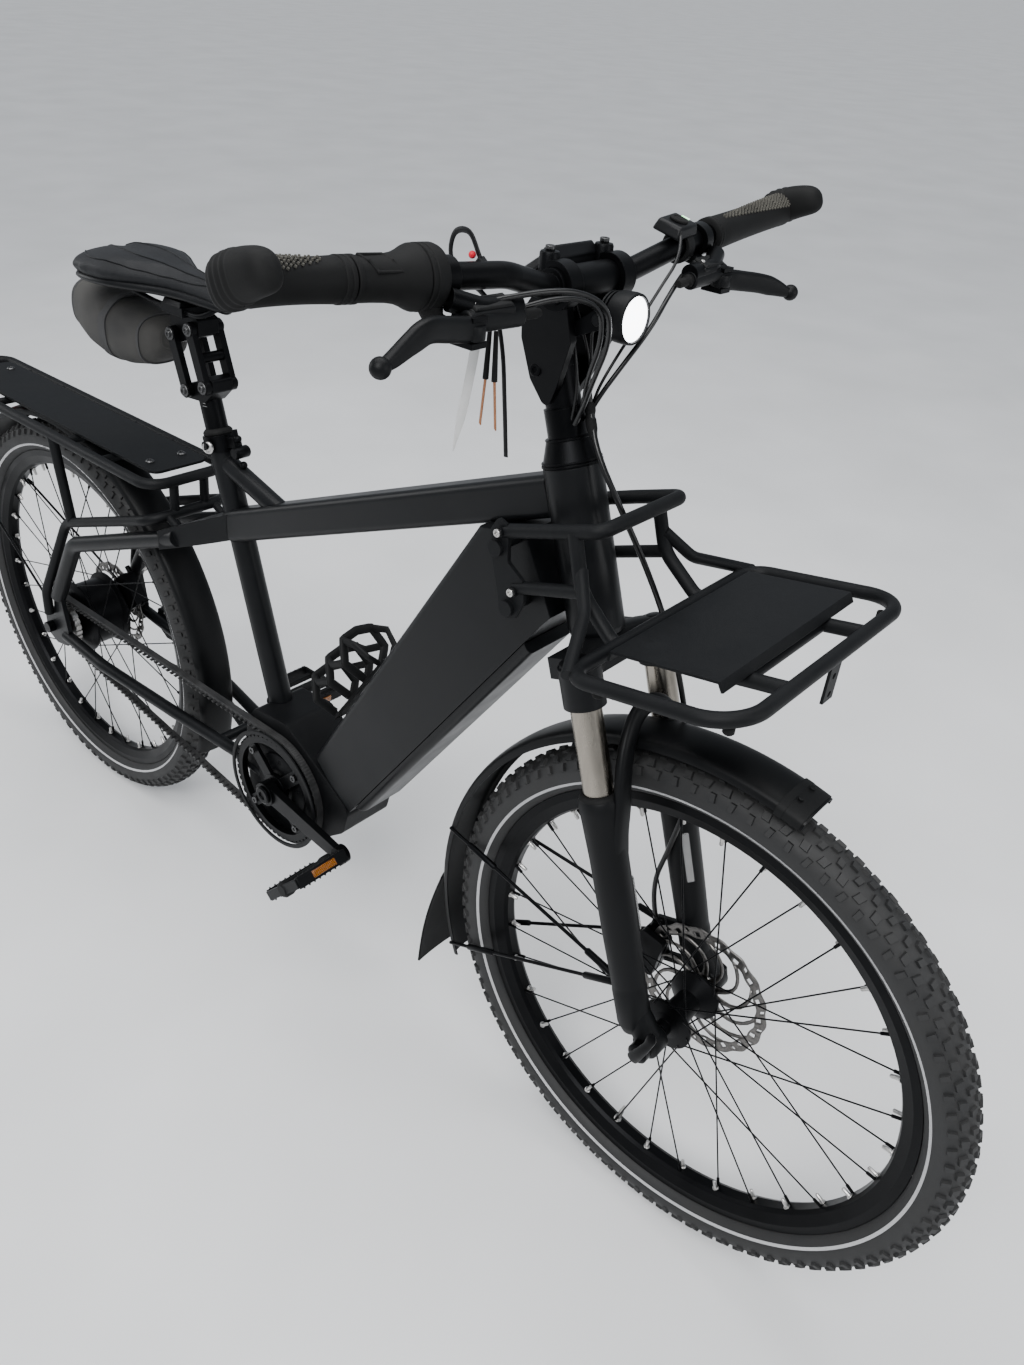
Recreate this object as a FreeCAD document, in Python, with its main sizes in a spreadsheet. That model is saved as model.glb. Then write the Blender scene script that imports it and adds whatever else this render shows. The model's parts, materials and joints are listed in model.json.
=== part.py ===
import FreeCAD, Part
import math
import os
import re
import Sketcher

# Touring e-bike with belt drive, front and rear carriers and a kickstand.
# Design frame: X forward from the rear axle, Y to the rider's left, Z up from the ground, millimetres.
# The finished bike then leans onto its kickstand, and its origin moves under the middle of its box.

DIMENSIONS = [
    ("wheelbase", 1286), ("wheel_radius", 350), ("tyre_section", 30), ("head_angle", 71),
    ("fork_rake", 44), ("axle_to_crown", 470), ("seat_angle", 73.5), ("lean_angle", 3),
    ("head_tube_radius", 31), ("head_bore", 24), ("head_length", 180), ("steerer_radius", 14.3),
    ("top_tube_height", 46), ("top_tube_width", 42), ("down_tube_width", 84),
    ("seat_tube_radius", 18), ("post_radius", 15.6), ("stay_radius", 13), ("rack_tube_radius", 8),
    ("carrier_tube_radius", 7.5), ("bracket_x", 590), ("bracket_height", 312),
    ("belt_line", 56), ("belt_pitch", 11), ("front_teeth", 52), ("rear_teeth", 26),
    ("belt_width", 10), ("belt_thickness", 4.6), ("crank_length", 170), ("pedal_offset", 92),
    ("rim_radius", 298), ("rim_width", 32), ("rim_depth", 26), ("spoke_count", 32),
    ("spoke_radius", 1), ("flange_radius", 29), ("rear_flange_radius", 60),
    ("front_rotor_radius", 90), ("front_rotor_offset", 43), ("rear_rotor_offset", 49),
    ("rear_rotor_radius", 80), ("rotor_thickness", 1.8), ("stanchion_radius", 17),
    ("stanchion_spacing", 68), ("stanchion_offset", 26), ("leg_radius", 22),
    ("fork_travel", 60), ("front_dropout", 55), ("rear_dropout", 72),
    ("bar_height", 1136), ("bar_x", 1021), ("bar_radius", 11.1), ("clamp_radius", 15.9),
    ("bar_half_width", 380), ("rack_height", 720), ("rack_half_width", 66.5),
    ("rack_front", 341), ("rack_rear", -325), ("fender_radius", 373), ("fender_half_width", 35),
    ("carrier_half_width", 167), ("stand_foot_offset", 225), ("link_length", 75),
    ("stand_x", 105), ("stand_height", 322), ("stand_y", 100),
]
ALIASES = [name for name, value in DIMENSIONS]

DOC = FreeCAD.newDocument("Bicycle")
SHEET = DOC.addObject("Spreadsheet::Sheet", "Sizes")
for row, (name, value) in enumerate(DIMENSIONS, start=1):
    SHEET.set("A%d" % row, name)
    SHEET.set("B%d" % row, str(value))
    SHEET.setAlias("B%d" % row, name)
DOC.recompute()

PARTS = []


def size(name):
    """The value of one named cell."""
    return float(SHEET.get(name))


def vec(x, y, z):
    return FreeCAD.Vector(x, y, z)


X_AXIS, Y_AXIS, Z_AXIS = vec(1, 0, 0), vec(0, 1, 0), vec(0, 0, 1)
ORIGIN = vec(0, 0, 0)
UNTURNED = FreeCAD.Rotation()
UNMOVED = FreeCAD.Placement()
UPRIGHT = FreeCAD.Rotation(X_AXIS, 90)      # local XY plane stands as the side view, local Z points right


def bound(text):
    """An expression text with each named size written as a reference to its cell."""
    return re.sub(r"[a-z_]{3,}", cell_reference, str(text))


def cell_reference(found):
    word = found.group(0)
    return "Sizes." + word if word in ALIASES else word


def number(text):
    return float(SHEET.evalExpression(bound(text)))


def keep(obj, label, placement=UNMOVED):
    """Name a sub-part, place it and keep it for export."""
    obj.Label = label
    obj.Placement = placement
    PARTS.append(obj)
    return obj


def at(x, y, z, rotation=UNTURNED):
    return FreeCAD.Placement(vec(x, y, z), rotation)


# ---------- PartDesign helpers ----------

def constrain(sketch, kind, where, text):
    """Add one distance or radius constraint, bound to its cell where the text names one."""
    index = sketch.addConstraint(Sketcher.Constraint(kind, *where, number(text)))
    if re.search(r"[a-z]{3,}", str(text)):
        sketch.setExpression("Constraints[%d]" % index, bound(text))


def draw(sketch, outline):
    """Draw one closed outline of straight edges, every corner held by two distances."""
    first = sketch.GeometryCount
    count = len(outline)
    corners = [vec(number(x), number(y), 0) for x, y in outline]
    for i in range(count):
        sketch.addGeometry(Part.LineSegment(corners[i], corners[(i + 1) % count]))
    for i in range(count):
        sketch.addConstraint(Sketcher.Constraint("Coincident", first + i, 2, first + (i + 1) % count, 1))
    for i, (x, y) in enumerate(outline):
        constrain(sketch, "DistanceX", (first + i, 1), x)
        constrain(sketch, "DistanceY", (first + i, 1), y)


def ring(sketch, x, y, radius):
    """Draw one circle."""
    index = sketch.addGeometry(Part.Circle(vec(number(x), number(y), 0), Z_AXIS, number(radius)))
    constrain(sketch, "DistanceX", (index, 3), x)
    constrain(sketch, "DistanceY", (index, 3), y)
    constrain(sketch, "Radius", (index,), radius)


def sketch_on(body, role, outlines=(), circles=()):
    sketch = body.newObject("Sketcher::SketchObject", body.Name + "_sketch")
    plane = [item for item in body.Origin.OriginFeatures if item.Role == role][0]
    sketch.AttachmentSupport = [(plane, "")]
    sketch.MapMode = "FlatFace"
    for outline in outlines:
        draw(sketch, outline)
    for circle in circles:
        ring(sketch, *circle)
    return sketch


def revolved_body(name, outline):
    """A body turned about its local Z from an outline of (radius, height) corners."""
    body = DOC.addObject("PartDesign::Body", name)
    sketch = sketch_on(body, "XZ_Plane", [outline])
    turn = body.newObject("PartDesign::Revolution", name + "_turn")
    turn.Profile = sketch
    turn.ReferenceAxis = (sketch, ["V_Axis"])
    turn.Angle = 360
    return body


def padded_body(name, length, outlines=(), circles=(), both_sides=True):
    """A body of constant thickness along its local Z."""
    body = DOC.addObject("PartDesign::Body", name)
    sketch = sketch_on(body, "XY_Plane", outlines, circles)
    pad = body.newObject("PartDesign::Pad", name + "_pad")
    pad.Profile = sketch
    pad.Length = number(length)
    if re.search(r"[a-z]{3,}", str(length)):
        pad.setExpression("Length", bound(length))
    pad.SideType = "Symmetric" if both_sides else "One side"
    return body


def pocket(body, outlines=(), circles=()):
    """Cut straight through a body along its local Z, both ways."""
    sketch = sketch_on(body, "XY_Plane", outlines, circles)
    cut = body.newObject("PartDesign::Pocket", body.Name + "_pocket")
    cut.Profile = sketch
    cut.Type = "ThroughAll"
    cut.SideType = "Symmetric"
    return cut


def polar(body, feature, count):
    """Repeat a feature round the body's local Z."""
    pattern = body.newObject("PartDesign::PolarPattern", body.Name + "_pattern")
    pattern.Originals = [feature]
    pattern.Axis = (feature.Profile[0], ["N_Axis"])
    pattern.Angle = 360
    pattern.Occurrences = count
    body.Tip = pattern
    return pattern


def fillet(body, chooser, radius):
    """Round the edges of a body's last feature that the chooser accepts."""
    DOC.recompute()
    tip = body.Tip
    names = ["Edge%d" % (i + 1) for i, edge in enumerate(tip.Shape.Edges) if chooser(edge)]
    rounding = body.newObject("PartDesign::Fillet", body.Name + "_fillet")
    rounding.Base = (tip, names)
    rounding.Radius = number(radius)
    return rounding


def along_z(edge):
    """True for an edge parallel to local Z."""
    if not isinstance(edge.Curve, Part.Line):
        return False
    return abs(edge.Curve.Direction.z) > 0.99


# ---------- Part helpers ----------

def feature(label, solids, placement=UNMOVED):
    """A sub-part whose shape is made by the functions of this file."""
    shape = solids[0] if len(solids) == 1 else Part.makeCompound(solids)
    obj = DOC.addObject("Part::Feature", label)
    obj.Shape = shape
    return keep(obj, label, placement)


def mitred(solids):
    """Cut each solid back from the ones before it, as tubes are mitred before welding."""
    done = []
    for solid in solids:
        for other in done:
            if solid.BoundBox.intersect(other.BoundBox):
                solid = solid.cut(other)
        done.extend(solid.Solids)
    return done


def rounded_path(points, bend):
    """Straight runs joined by tangent arcs of one radius."""
    edges = []
    start = points[0]
    for i in range(1, len(points) - 1):
        corner = points[i]
        back = (points[i - 1] - corner).normalize()
        ahead = (points[i + 1] - corner).normalize()
        half = back.getAngle(ahead) / 2
        reach = bend / math.tan(half)
        room = 0.48 * min((points[i - 1] - corner).Length, (points[i + 1] - corner).Length)
        radius = bend if reach <= room else room * math.tan(half)
        reach = min(reach, room)
        first = corner + back * reach
        last = corner + ahead * reach
        middle = corner + (back + ahead).normalize() * (radius / math.sin(half) - radius)
        if (first - start).Length > 1e-6:
            edges.append(Part.LineSegment(start, first).toShape())
        edges.append(Part.Arc(first, middle, last).toShape())
        start = last
    edges.append(Part.LineSegment(start, points[-1]).toShape())
    return Part.Wire(edges)


def pipe(points, radius, bend=30):
    """A round bar along a bent path."""
    path = rounded_path(points, bend)
    section = Part.Wire([Part.Circle(points[0], points[1] - points[0], radius).toShape()])
    return path.makePipeShell([section], True, False)


def rod(start, end, radius):
    """A straight round bar."""
    return Part.makeCylinder(radius, (end - start).Length, start, end - start)


def slab(outline, depth, low=None):
    """A plate from a side-view outline of (x, z) corners, its thickness along Y."""
    low = -depth / 2 if low is None else low
    corners = [vec(x, low, z) for x, z in outline]
    face = Part.Face(Part.makePolygon(corners + [corners[0]]))
    return face.extrude(vec(0, depth, 0))


def soften(solid, radius, chooser):
    """Round the chosen edges of a shape."""
    edges = [edge for edge in solid.Edges if chooser(edge)]
    return solid.makeFillet(radius, edges)


def across(edge):
    """True for a straight edge parallel to Y."""
    return isinstance(edge.Curve, Part.Line) and abs(edge.Curve.Direction.y) > 0.99


def mirrored(solids):
    """The solids and their mirror images in the bike's middle plane."""
    return list(solids) + [solid.mirror(ORIGIN, Y_AXIS) for solid in solids]


def ring_arc(inner, outer, half_width, start, end, centre):
    """Part of a flat ring about an axis along Y, between two angles measured up from +X."""
    profile = [vec(inner, -half_width, 0), vec(outer, -half_width, 0), vec(outer, half_width, 0),
               vec(inner, half_width, 0)]
    face = Part.Face(Part.makePolygon(profile + [profile[0]]))
    face.rotate(ORIGIN, Y_AXIS, -start)
    solid = face.revolve(ORIGIN, Y_AXIS, start - end)
    solid.translate(centre)
    return solid


# ---------- shared places ----------

WHEEL_RADIUS = size("wheel_radius")
REAR_AXLE = vec(0, 0, WHEEL_RADIUS)
FRONT_AXLE = vec(size("wheelbase"), 0, WHEEL_RADIUS)
BRACKET = vec(size("bracket_x"), 0, size("bracket_height"))
HEAD = math.radians(size("head_angle"))
STEER_UP = vec(-math.cos(HEAD), 0, math.sin(HEAD))
STEER_FORWARD = vec(math.sin(HEAD), 0, math.cos(HEAD))
CROWN = FRONT_AXLE - STEER_FORWARD * size("fork_rake") + STEER_UP * size("axle_to_crown")
STEER = FreeCAD.Placement(CROWN, FreeCAD.Rotation(Y_AXIS, size("head_angle") - 90))
SEAT = math.radians(size("seat_angle"))
SEAT_UP = vec(-math.cos(SEAT), 0, math.sin(SEAT))
SEAT_CLAMP = vec(424, 0, 800)
BAR = vec(size("bar_x"), 0, size("bar_height"))
BELT_Y = -size("belt_line")
FRONT_PITCH = size("belt_pitch") * size("front_teeth") / (2 * math.pi)
REAR_PITCH = size("belt_pitch") * size("rear_teeth") / (2 * math.pi)


def on_steerer(along, forward=0, left=0):
    """A point given along, ahead of and left of the steering axis, from the crown."""
    return CROWN + STEER_UP * along + STEER_FORWARD * forward + vec(0, left, 0)


def on_seat_tube(height):
    """The seat tube's axis at a height."""
    return SEAT_CLAMP + SEAT_UP * ((height - SEAT_CLAMP.z) / SEAT_UP.z)


# ---------- frame ----------

def trimmed(label, body, cutter):
    """A placed body cut back to the shapes it is welded to."""
    tool = DOC.addObject("Part::Feature", label + "_cutter")
    tool.Shape = cutter
    cut = DOC.addObject("Part::Cut", label)
    cut.Base = body
    cut.Tool = tool
    keep(cut, label)


def head_cylinder():
    """The head tube's outside, as a solid for cutting what meets it."""
    return rod(on_steerer(0), on_steerer(size("head_length") + 10), size("head_tube_radius"))


def make_head_tube():
    body = revolved_body("head_tube", [
        ("head_bore", "8"), ("head_tube_radius - 2", "8"), ("head_tube_radius", "14"),
        ("head_tube_radius", "8 + head_length"), ("head_bore", "8 + head_length")])
    keep(body, "head_tube", STEER)


def make_top_tube():
    rear, front = vec(452, 0, 684), vec(1018, 0, 922)
    run = front - rear
    body = padded_body("top_tube_bar", str(run.Length), [[
        ("-top_tube_height / 2", "-top_tube_width / 2"), ("top_tube_height / 2", "-top_tube_width / 2"),
        ("top_tube_height / 2", "top_tube_width / 2"), ("-top_tube_height / 2", "top_tube_width / 2")]],
        both_sides=False)
    fillet(body, along_z, "9")
    tilt = math.degrees(math.atan2(run.x, run.z))
    body.Placement = FreeCAD.Placement(rear, FreeCAD.Rotation(Y_AXIS, tilt))
    seat = rod(on_seat_tube(600), on_seat_tube(830), size("seat_tube_radius"))
    trimmed("top_tube", body, seat.fuse(head_cylinder()))


def long_upper_edge(edge):
    """True for the two long edges on the down tube's upper side."""
    return edge.BoundBox.ZLength < 1 and edge.Length > 300 and edge.CenterOfMass.x < 830


def make_down_tube():
    body = padded_body("down_tube_bar", "down_tube_width", [[
        ("664", "408"), ("942", "868"), ("1010", "886"), ("1055", "803"), ("1047", "793"),
        ("739", "346"), ("700", "372")]])
    fillet(body, long_upper_edge, "10")
    body.Placement = at(0, 0, 0, UPRIGHT)
    trimmed("down_tube", body, head_cylinder().fuse(shape_of("top_tube")))


COVER_ALONG = vec(0.567, 0.824, 0)          # the down tube's direction in its own side view
COVER_OUT = vec(0.824, -0.567, 0)
COVER_START = vec(739, 346, 0)


def long_outer_edge(edge):
    """True for the long edges on the cover's outer face."""
    return edge.Length > 300 and (edge.CenterOfMass - COVER_START).dot(COVER_OUT) > 10


def make_battery_cover():
    corners = [COVER_START + COVER_ALONG * along + COVER_OUT * out
               for along, out in ((20, 1), (500, 1), (494, 14), (28, 14))]
    body = padded_body("battery_cover", "down_tube_width - 2", [[(str(p.x), str(p.y)) for p in corners]])
    fillet(body, long_outer_edge, "10")
    keep(body, "battery_cover", at(0, 0, 0, UPRIGHT))


def make_seat_tube():
    foot, top = on_seat_tube(415), on_seat_tube(806)
    bore = rod(on_seat_tube(560), on_seat_tube(830), size("post_radius") + 0.05)
    tube = rod(foot, top, size("seat_tube_radius")).cut([bore, shape_of("motor")])
    gusset = rod(on_seat_tube(772) + vec(10, 0, 0), vec(566, 0, 736), 14)
    gusset = gusset.cut([rod(foot, top, size("seat_tube_radius")), shape_of("top_tube")])
    feature("seat_tube", [tube, gusset])


def make_rear_stays():
    """Upper stays that carry on from the top tube and bend down, chainstays, bridges and dropouts."""
    radius = size("stay_radius")
    outer = size("rear_dropout") + 4
    upper = pipe([vec(376, -52, 650), vec(112, -outer, 548), vec(30, -outer, 420)], radius, 45)
    yoke = Part.makeLoft([upright_box(vec(462, 0, 688), 19, 20), upright_box(vec(412, 0, 667), 40, 19),
                          upright_box(vec(350, 0, 641), 68, 15)], True)
    yoke = yoke.cut(slab([(300, 560), (330, 720), (392, 720), (386, 560)], 72))
    lower = pipe([vec(548, -36, 300), vec(470, -38, 306), vec(330, -56, 318), vec(150, -outer, 334),
                  vec(36, -outer, 344)], radius - 3, 60)
    plate = slab([(-22, 372), (-22, 330), (6, 318), (44, 326), (52, 358), (42, 424), (22, 424), (10, 378)], 8,
                 low=-outer - 4)
    axle_hole = rod(vec(0, -90, WHEEL_RADIUS), vec(0, -60, WHEEL_RADIUS), 6.1)
    plate = soften(plate, 5, across).cut(axle_hole)
    bridge = rod(vec(430, -44, 309), vec(430, 44, 309), 9)
    seat = rod(on_seat_tube(600), on_seat_tube(806), size("seat_tube_radius") + 0.1)
    stays = yoke.fuse(mirrored([plate, upper, lower]) + [bridge])
    stays = stays.cut([seat, shape_of("top_tube"), shape_of("motor")])
    feature("rear_stays", stays.removeSplitter().Solids)


def upright_box(centre, half_width, half_height):
    """A closed rectangle across X."""
    corners = [centre + vec(0, y, z) for y, z in ((-half_width, -half_height), (half_width, -half_height),
                                                  (half_width, half_height), (-half_width, half_height))]
    return Part.makePolygon(corners + [corners[0]])


def make_motor():
    body = padded_body("motor", "88", [[
        ("503", "330"), ("508", "388"), ("530", "424"), ("602", "430"), ("700", "372"), ("739", "346"),
        ("727", "300"), ("664", "248"), ("600", "216"), ("538", "226"), ("508", "268")]])
    fillet(body, along_z, "16")
    pocket(body, circles=[("bracket_x", "bracket_height", "15.3")])
    keep(body, "motor", at(0, 0, 0, UPRIGHT))


def make_rear_rack():
    """The carrier's closed rail, its lower bow, the uprights between them and the legs to the dropouts."""
    radius, wide, high = size("rack_tube_radius"), size("rack_half_width"), size("rack_height")
    front, rear, low = size("rack_front"), size("rack_rear"), 668
    middle = (front + rear) / 2
    rail_right = pipe([vec(middle, -wide, high), vec(front, -wide, high), vec(front, 0, high)], radius, 45)
    rail_rear = pipe([vec(middle, -wide, high), vec(rear, -wide, high), vec(rear, 0, high)], radius, 45)
    bow = pipe([vec(338, 0, low), vec(338, -wide, low), vec(78, -wide, 572), vec(8, -outer_leg(), 424),
                vec(6, -outer_leg(), 380)], radius, 42)
    upright = rod(vec(74, -wide, high), vec(98, -wide, 578), radius)
    strut = rod(vec(front - 2, -26, high), vec(336, -26, low), radius - 1)
    mount = rod(vec(338, -40, low), vec(372, -40, 652), 6)
    solids = mirrored([rail_right, rail_rear, bow, upright, strut, mount])
    crossbars = [rod(vec(x, -wide, high), vec(x, wide, high), 6) for x in (210, 110, -110, -220)]
    rack = solids[0].fuse(solids[1:] + crossbars).cut(shape_of("rear_stays")).removeSplitter()
    above = Part.makeBox(front - rear + 100, 4 * wide, 60, vec(rear - 50, -2 * wide, high - radius - 3))
    feature("rear_rack", rack.common(above).Solids + rack.cut(above).Solids)


def outer_leg():
    """How far out the rack's legs meet the dropouts."""
    return size("rear_dropout") + 14


def make_rack_plate():
    """The flat deck plate on the rack's rails with its four button-head screws."""
    front, rear = size("rack_front") - 18, size("rack_rear") + 60
    deck = padded_body("rack_deck", "4", [[
        (str(rear), "-47"), (str(front), "-47"), (str(front), "47"), (str(rear), "47")]], both_sides=False)
    fillet(deck, along_z, "14")
    group = [deck]
    for x in (front - 40, rear + 40):
        for y in (-27, 27):
            screw = DOC.addObject("Part::Cone", "deck_screw")
            screw.Radius1, screw.Radius2, screw.Height = 6, 4.5, 2.4
            screw.Placement = at(x, y, 4)
            group.append(screw)
    plate = DOC.addObject("Part::MultiFuse", "rear_rack_plate")
    plate.Shapes = group
    keep(plate, "rear_rack_plate", at(0, 0, size("rack_height") + 8.2))


def shape_of(label):
    """The finished shape of a sub-part already made."""
    DOC.recompute()
    return [part.Shape for part in PARTS if part.Label == label][0]


def fender(label, axle, start, end, extras=()):
    """A mudguard: a shallow channel round the wheel with rolled side lips."""
    inner, half = size("fender_radius"), size("fender_half_width")
    crown = ring_arc(inner, inner + 2, half - 7, start, end, axle)
    lip = ring_arc(inner - 11, inner + 2, 1, start, end, axle)
    lip.translate(vec(0, -half + 6, 0))
    channel = crown.fuse(mirrored([lip])).removeSplitter()
    feature(label, list(channel.Solids) + list(extras))


def make_rear_fender():
    stay = rod(vec(-300, -37, 520), vec(-8, -69, 372), 2.2)
    fender("rear_fender", REAR_AXLE, -18, 165, mirrored([stay]))


def make_front_carrier():
    """The tube frame in front of the head tube: upper loop, uprights, sloping platform loop and bracket."""
    radius, wide = size("carrier_tube_radius"), size("carrier_half_width")
    rear, front = vec(1170, 0, 838), vec(1346, 0, 871)
    slope = (front.z - rear.z) / (front.x - rear.x)
    right = vec(0, -wide, 0)
    loop_side = pipe([vec(1004, -66, 893), vec(1070, -70, 917), vec(1100, -70, 927.6)], radius, 34)
    loop_front = pipe([vec(1100, -70, 927.6), vec(1124, -70, 936), vec(1124, 0, 936)], radius, 22)
    platform_front = pipe([(rear + front) / 2 + right, front + right, front], radius, 44)
    platform_rear = pipe([(rear + front) / 2 + right, rear + right, rear], radius, 26)
    elbow = vec(1184, -75, 835)
    upright = pipe([vec(1094, -71, 925), vec(1112, -73, 868), vec(1160, -75, 830), elbow], radius, 46)
    runner = rod(elbow, vec(1344, -75, front.z - 3), radius)
    brace = pipe([vec(1108, -72, 890), vec(1134, -96, 862), vec(1172, -166, 839)], radius - 1, 30)
    lower = rod(vec(1024, -66, 836), vec(1112, -73, 868), radius - 0.5)
    tubes = mirrored([loop_side, loop_front, platform_front, platform_rear, upright, runner, brace, lower])
    bar_z = rear.z + slope * 130 - 5
    crossbar = rod(vec(1300, -75, bar_z), vec(1300, 75, bar_z), radius - 1.5)
    hanger = slab([(1346, 866), (1346, 822), (1349, 822), (1349, 866)], 20, low=-2)
    hanger = hanger.cut([rod(vec(1330, 8, z), vec(1370, 8, z), 3.2) for z in (830, 850)])
    feature("front_carrier", mitred(tubes + [crossbar, hanger]))


def make_carrier_plate():
    """A sheet with its front and rear edges folded down, resting on the carrier's long tubes."""
    length, thick, fold = 112, 2.5, 8
    body = padded_body("carrier_plate", "252", [[
        ("0", "0"), (str(length), "0"), (str(length + 3), str(-fold)), (str(length + 5.4), str(-fold + 0.4)),
        (str(length + 2), str(thick)), ("-2", str(thick)), ("-5.4", str(-fold + 0.4)), ("-3", str(-fold))]])
    tilt = FreeCAD.Rotation(Y_AXIS, -math.degrees(math.atan2(33, 176)))
    keep(body, "carrier_plate", at(1190, 0, 854.2, tilt.multiply(UPRIGHT)))


def make_carrier_side_plates():
    """The side plates, their round rubber bushes and the bolts that hold the front carrier."""
    outline = [(996, 906), (988, 892), (990, 868), (1006, 812), (1016, 798), (1030, 802), (1040, 826),
               (1036, 848), (1014, 862), (1012, 890), (1010, 902)]
    plate = soften(slab(outline, 5, low=-71), 4, across)
    bushes = [rod(vec(x, -66, z), vec(x, -44, z), 8) for x, z in ((999, 878), (1020, 814))]
    bolts = [rod(vec(x, -76, z), vec(x, -71, z), 5.5) for x, z in ((1002, 893), (1026, 834))]
    caps = [rod(vec(x, -77, z), vec(x, -71, z), 9) for x, z in ((999, 874), (1020, 812))]
    tubes = shape_of("front_carrier")
    solids = [solid.cut(tubes) for solid in [plate] + bushes + bolts + caps]
    feature("carrier_side_plates", mitred(mirrored(solids)))


def make_bottle_cage():
    """Two zigzag side rails joined by steps round a bottle, on a base strip above the down tube."""
    lean = math.degrees(math.atan2(COVER_ALONG.x, COVER_ALONG.y))
    base = slab([(0, -85), (4, -85), (4, 95), (0, 95)], 22)
    solids = [soften(base, 1.2, across)]
    corners = [(6, -80), (62, -70), (30, -38), (66, -18), (34, 10), (70, 30), (40, 58), (62, 84)]
    for side in (-1, 1):
        rail = [vec(-x, side * (16 + 20 * min(x, 40) / 40), z) for x, z in corners]
        solids += [rod(a, b, 3.2) for a, b in zip(rail[:-1], rail[1:])]
        solids += [Part.makeSphere(3.6, p) for p in rail[1:-1]]
    for x, z in ((66, -18), (62, -70)):
        step = [vec(-x, -36, z), vec(-x - 12, -18, z), vec(-x - 12, 18, z), vec(-x, 36, z)]
        solids.append(pipe(step, 3.2, 14))
    solids.append(rod(vec(-4, 0, -84), vec(-44, 0, -84), 5))
    place = FreeCAD.Placement(vec(726, 0, 532), FreeCAD.Rotation(Y_AXIS, lean))
    fused = solids[0].fuse(solids[1:]).removeSplitter()
    feature("bottle_cage", fused.Solids, place)


def make_seat_clamp():
    """The collar with its locking bolt and the small T-handled clamp in front."""
    collar = revolved_body("seat_clamp_collar", [
        ("seat_tube_radius + 0.05", "-12"), ("seat_tube_radius + 4.5", "-12"),
        ("seat_tube_radius + 4.5", "10"), ("post_radius + 0.4", "10"),
        ("post_radius + 0.4", "7"), ("seat_tube_radius + 0.05", "7")])
    bolt = DOC.addObject("Part::Cylinder", "seat_clamp_bolt")
    bolt.Radius = 6
    bolt.Height = 10
    bolt.Placement = at(8, -22, 0, FreeCAD.Rotation(X_AXIS, 90))
    arm = DOC.addObject("Part::Box", "seat_clamp_arm")
    arm.Length, arm.Width, arm.Height = 22, 12, 14
    arm.Placement = at(20, -6, -8)
    handle = DOC.addObject("Part::Cylinder", "seat_clamp_handle")
    handle.Radius = 4
    handle.Height = 34
    handle.Placement = at(40, 0, -18)
    DOC.recompute()
    group = DOC.addObject("Part::MultiFuse", "seat_clamp")
    group.Shapes = [collar, bolt, arm, handle]
    along_seat_tube = FreeCAD.Rotation(Y_AXIS, size("seat_angle") - 90)
    keep(group, "seat_clamp", FreeCAD.Placement(SEAT_CLAMP, along_seat_tube))


def make_rear_light():
    body = padded_body("rear_light", "22", [[("-36", "-17"), ("36", "-17"), ("36", "17"), ("-36", "17")]])
    fillet(body, along_z, "12")
    face_back = FreeCAD.Rotation(Y_AXIS, 90).multiply(FreeCAD.Rotation(Z_AXIS, 90))
    keep(body, "rear_light", at(size("rack_rear") + 20, 0, size("rack_height") - 30, face_back))


# ---------- wheels ----------

def wheel(prefix, axle, hub_outline, flanges, rotor_radius, rotor_y, rotor_bore):
    """One wheel's hub, spokes, rim, tyre and brake rotor; local Z of each points to the bike's right."""
    place = FreeCAD.Placement(axle, UPRIGHT)
    keep(revolved_body(prefix + "_hub", hub_outline), prefix + "_hub", place)
    rim = revolved_body(prefix + "_rim", [
        ("rim_radius", "-rim_width / 2"), ("rim_radius", "-rim_width / 2 + 3"),
        ("rim_radius - 9", "-rim_width / 2 + 4"), ("rim_radius - 12", "0"),
        ("rim_radius - 9", "rim_width / 2 - 4"), ("rim_radius", "rim_width / 2 - 3"),
        ("rim_radius", "rim_width / 2"), ("rim_radius - 10", "rim_width / 2"),
        ("rim_radius - rim_depth + 3", "rim_width / 2 - 5"),
        ("rim_radius - rim_depth", "rim_width / 2 - 10"),
        ("rim_radius - rim_depth", "-rim_width / 2 + 10"),
        ("rim_radius - rim_depth + 3", "-rim_width / 2 + 5"),
        ("rim_radius - 10", "-rim_width / 2")])
    keep(rim, prefix + "_rim", place)
    make_tyre(prefix + "_tyre", place)
    make_spokes(prefix + "_spokes", place, flanges)
    make_rotor(prefix + "_rotor", axle + vec(0, rotor_y, 0), rotor_radius, rotor_bore)


def make_tyre(name, place):
    """A round tyre section that sits on the rim's two edges."""
    body = DOC.addObject("PartDesign::Body", name)
    sketch = sketch_on(body, "XZ_Plane")
    centre = number("wheel_radius - tyre_section")
    seat = number("rim_radius + 0.3")
    radius = size("tyre_section")
    start = math.atan2(-math.sqrt(radius ** 2 - (centre - seat) ** 2), seat - centre)
    arc = Part.ArcOfCircle(Part.Circle(vec(centre, 0, 0), Z_AXIS, radius), start, -start)
    sketch.addGeometry(arc)
    low, high = arc.StartPoint, arc.EndPoint
    sketch.addGeometry(Part.LineSegment(high, low))
    sketch.addConstraint(Sketcher.Constraint("Coincident", 0, 2, 1, 1))
    sketch.addConstraint(Sketcher.Constraint("Coincident", 0, 1, 1, 2))
    sketch.addConstraint(Sketcher.Constraint("Vertical", 1))
    sketch.addConstraint(Sketcher.Constraint("PointOnObject", 0, 3, -1))
    constrain(sketch, "Radius", (0,), "tyre_section")
    constrain(sketch, "DistanceX", (0, 3), "wheel_radius - tyre_section")
    constrain(sketch, "DistanceX", (0, 1), "rim_radius + 0.3")
    turn = body.newObject("PartDesign::Revolution", name + "_turn")
    turn.Profile = sketch
    turn.ReferenceAxis = (sketch, ["V_Axis"])
    turn.Angle = 360
    keep(body, name, place)


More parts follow.
